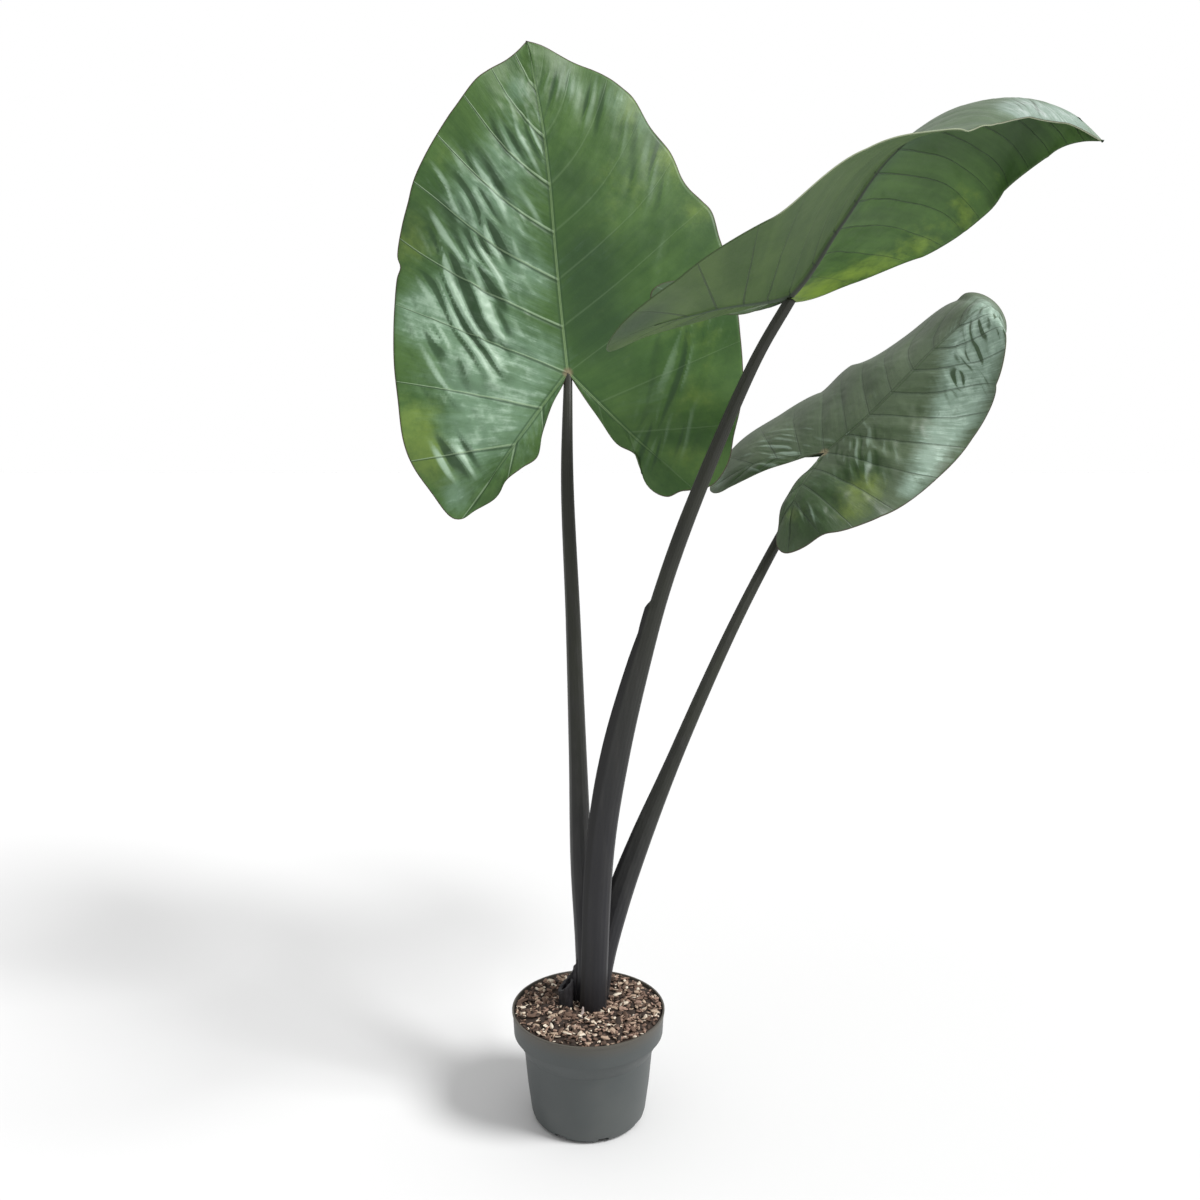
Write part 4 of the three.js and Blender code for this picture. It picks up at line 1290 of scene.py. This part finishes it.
def makeSoil(paint):
    chips = [makeGround()]
    kinds = makeChipKinds()
    rng = random.Random(soilLook["seed"])
    for index in range(soilLook["chips"]):
        source = kinds[rng.randrange(len(kinds))]
        chip = source.copy()
        chip.data = source.data.copy()
        bpy.context.collection.objects.link(chip)
        far = soilLook["chipReach"] * math.sqrt(rng.random())
        angle = 2 * math.pi * rng.random()
        x, y = far * math.cos(angle), far * math.sin(angle)
        sizes = soilLook["small"] if rng.random() < soilLook["smallShare"] else soilLook["large"]
        room = max(soilLook["smallest"], 2 * (soilLook["chipLimit"] - far))
        size = min(rng.uniform(*sizes), room)
        tilt = soilLook["tilt"]
        chip.scale = (size, size, size)
        chip.rotation_euler = (rng.gauss(0, tilt), rng.gauss(0, tilt), rng.uniform(0, 6.283))
        chip.location = (x, y, soilHeight(x, y) + rng.uniform(0.0, soilLook["chipRise"]))
        writeAttribute(chip, "tone", np.full(len(chip.data.vertices), chipTone(rng, x, y)))
        chips.append(chip)
    for source in kinds:
        bpy.data.objects.remove(source)
    soil = joinPieces(chips, "pottingMix")
    applyPlace(soil)
    soil.data.materials.clear()
    soil.data.materials.append(paint.material)
    shadeByAngle(soil, 50)
    return soil


def soilPaint():
    tints = tintsOf(soilLook)
    paint = Paint("barkMix")
    tone = paint.attribute("tone")
    place = paint.place()
    fine = paint.cloud(place, 500.0, 3.0, 0.6)
    fibres = paint.cloud(paint.stretched(place, (1.0, 3.0, 1.0)), 700.0, 2.0, 0.6)
    base = paint.layers(
        paint.blend(tone.band(0.0, 0.35), tints["peat"], tints["bark"]),
        (tone.band(0.35, 0.6), tints["husk"]),
        (tone.band(0.6, 0.8), tints["paleHusk"]),
        (tone.band(0.82, 0.95), tints["white"]),
        (fibres.band(0.45, 0.8) * 0.4, tints["fibre"]),
    )
    paint.finish(base, fine * 0.2 + 0.75, fine + fibres, 0.0006, 0.6)
    return paint


# the stub of an old leaf: a short curled sheath, open at one side, highest against the stalks
stubLook = {
    "columns": 60,
    "rows": 50,
    "centre": (-0.026, 0.004),
    "low": 0.140,
    "high": 0.187,
    "shoulder": 0.028,
    "radius": 0.0118,
    "flare": 0.12,
    "rib": 0.0006,
    "ribs": 13,
    "unevenness": 0.009,
    "wall": 0.005,
    "openingStart": 0.35,
    "opening": 1.6,
    "bevel": 0.0008,
    "tints": {"dark": (26, 25, 29), "light": (50, 48, 52)},
}


def makeStub(paint):
    sheet, across, rise = addGrid("oldLeafBase", stubLook["columns"], stubLook["rows"])
    angle = stubLook["openingStart"] + across * (2 * math.pi - stubLook["opening"])
    rough = np.sin(stubLook["radius"] * np.cos(angle) / 0.007 + 0.6) * rise ** 4
    shoulder = stubLook["shoulder"] * np.clip(np.cos(angle), 0, 1) ** 1.5
    height = stubLook["high"] - stubLook["low"] + shoulder
    radius = stubLook["radius"] * (1 + stubLook["flare"] * rise)
    radius += stubLook["rib"] * np.sin(angle * stubLook["ribs"]) * rise
    points = np.stack([
        stubLook["centre"][0] + radius * np.cos(angle),
        stubLook["centre"][1] + radius * np.sin(angle),
        stubLook["low"] + height * rise + stubLook["unevenness"] * rough,
    ], axis=1)
    points[:, :2] += (stubLook["rib"] * lumpsAt(points, 0.008, 9, 2) * rise)[:, None]
    writePoints(sheet, points)
    applyModifier(sheet, "SOLIDIFY", "wall", thickness=stubLook["wall"], offset=0)
    applyModifier(
        sheet, "BEVEL", "softEdges", width=stubLook["bevel"], segments=2, limit_method="ANGLE",
        angle_limit=math.radians(40))
    turnOutward(sheet)
    sheet.data.materials.append(paint.material)
    shadeByAngle(sheet, 45)
    return sheet


def stubPaint():
    tints = tintsOf(stubLook)
    paint = Paint("oldSheath")
    fibres = paint.cloud(paint.stretched(paint.place(), (1.0, 1.0, 0.1)), 300.0, 3.0, 0.6)
    base = paint.blend(fibres.band(0.35, 0.7), tints["dark"], tints["light"])
    paint.finish(base, fibres * 0.2 + 0.5, fibres, 0.0006, 0.5)
    return paint


# the pale root tip; its path is in millimetres
rootLook = {
    "path": [(-11, -37, 146), (-9, -33, 157), (-7.5, -30.5, 165), (-7, -31, 172)],
    "radius": 0.0023,
    "taper": 0.6,
    "roundEnd": (0.9, 0.7, 0.3),
    "rings": 30,
    "sides": 16,
    "tints": {"low": (168, 152, 148), "high": (206, 194, 188)},
}


def makeRoot(paint):
    places = np.linspace(0, 1, rootLook["rings"])
    radii = rootLook["radius"] * (1 - rootLook["taper"] * places ** 3)
    radii[-len(rootLook["roundEnd"]):] *= rootLook["roundEnd"]
    root, across, up = addGrid("rootTip", rootLook["sides"], rootLook["rings"] - 1)
    row = np.rint(up * (rootLook["rings"] - 1)).astype(int)
    rollGrid(root, pathPoints(rootLook["path"], places) / 1000, row, across * -2 * np.pi, radii[row])
    writeUv(root, "round", across, up)
    closeTube(root)
    root.data.materials.append(paint.material)
    return root


def rootPaint():
    tints = tintsOf(rootLook)
    paint = Paint("paleRoot")
    soft = paint.cloud(paint.place(), 300.0, 3.0, 0.6)
    paint.finish(paint.blend(soft, tints["low"], tints["high"]), soft * 0.2 + 0.45, soft, 0.0003, 0.4)
    return paint


def settle(piece, slotName, *nodes):
    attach(piece, "root")
    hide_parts(*nodes)


makeStudio()
print("studio ready")
under, stalkFinish = underPaint(), stalkPaint()
for leaf in (leafOne, leafTwo, leafThree):
    number = leaf["number"]
    settle(makeBlade(leaf, (upperPaint(number), under)), "blade", f"leaf_blade_{number}")
    settle(makeStalk(leaf, stalkFinish), "stalk", f"leaf_stalk_{number}")
    print("leaf", number, "ready")
settle(makePot(potPaint()), "pot", "nursery_pot")
print("pot ready")
settle(makeSoil(soilPaint()), "soil", "potting_mix")
print("potting mix ready")
settle(makeStub(stubPaint()), "stub", "old_leaf_base")
settle(makeRoot(rootPaint()), "root", "root_tip")
print("old leaf base and root tip ready")
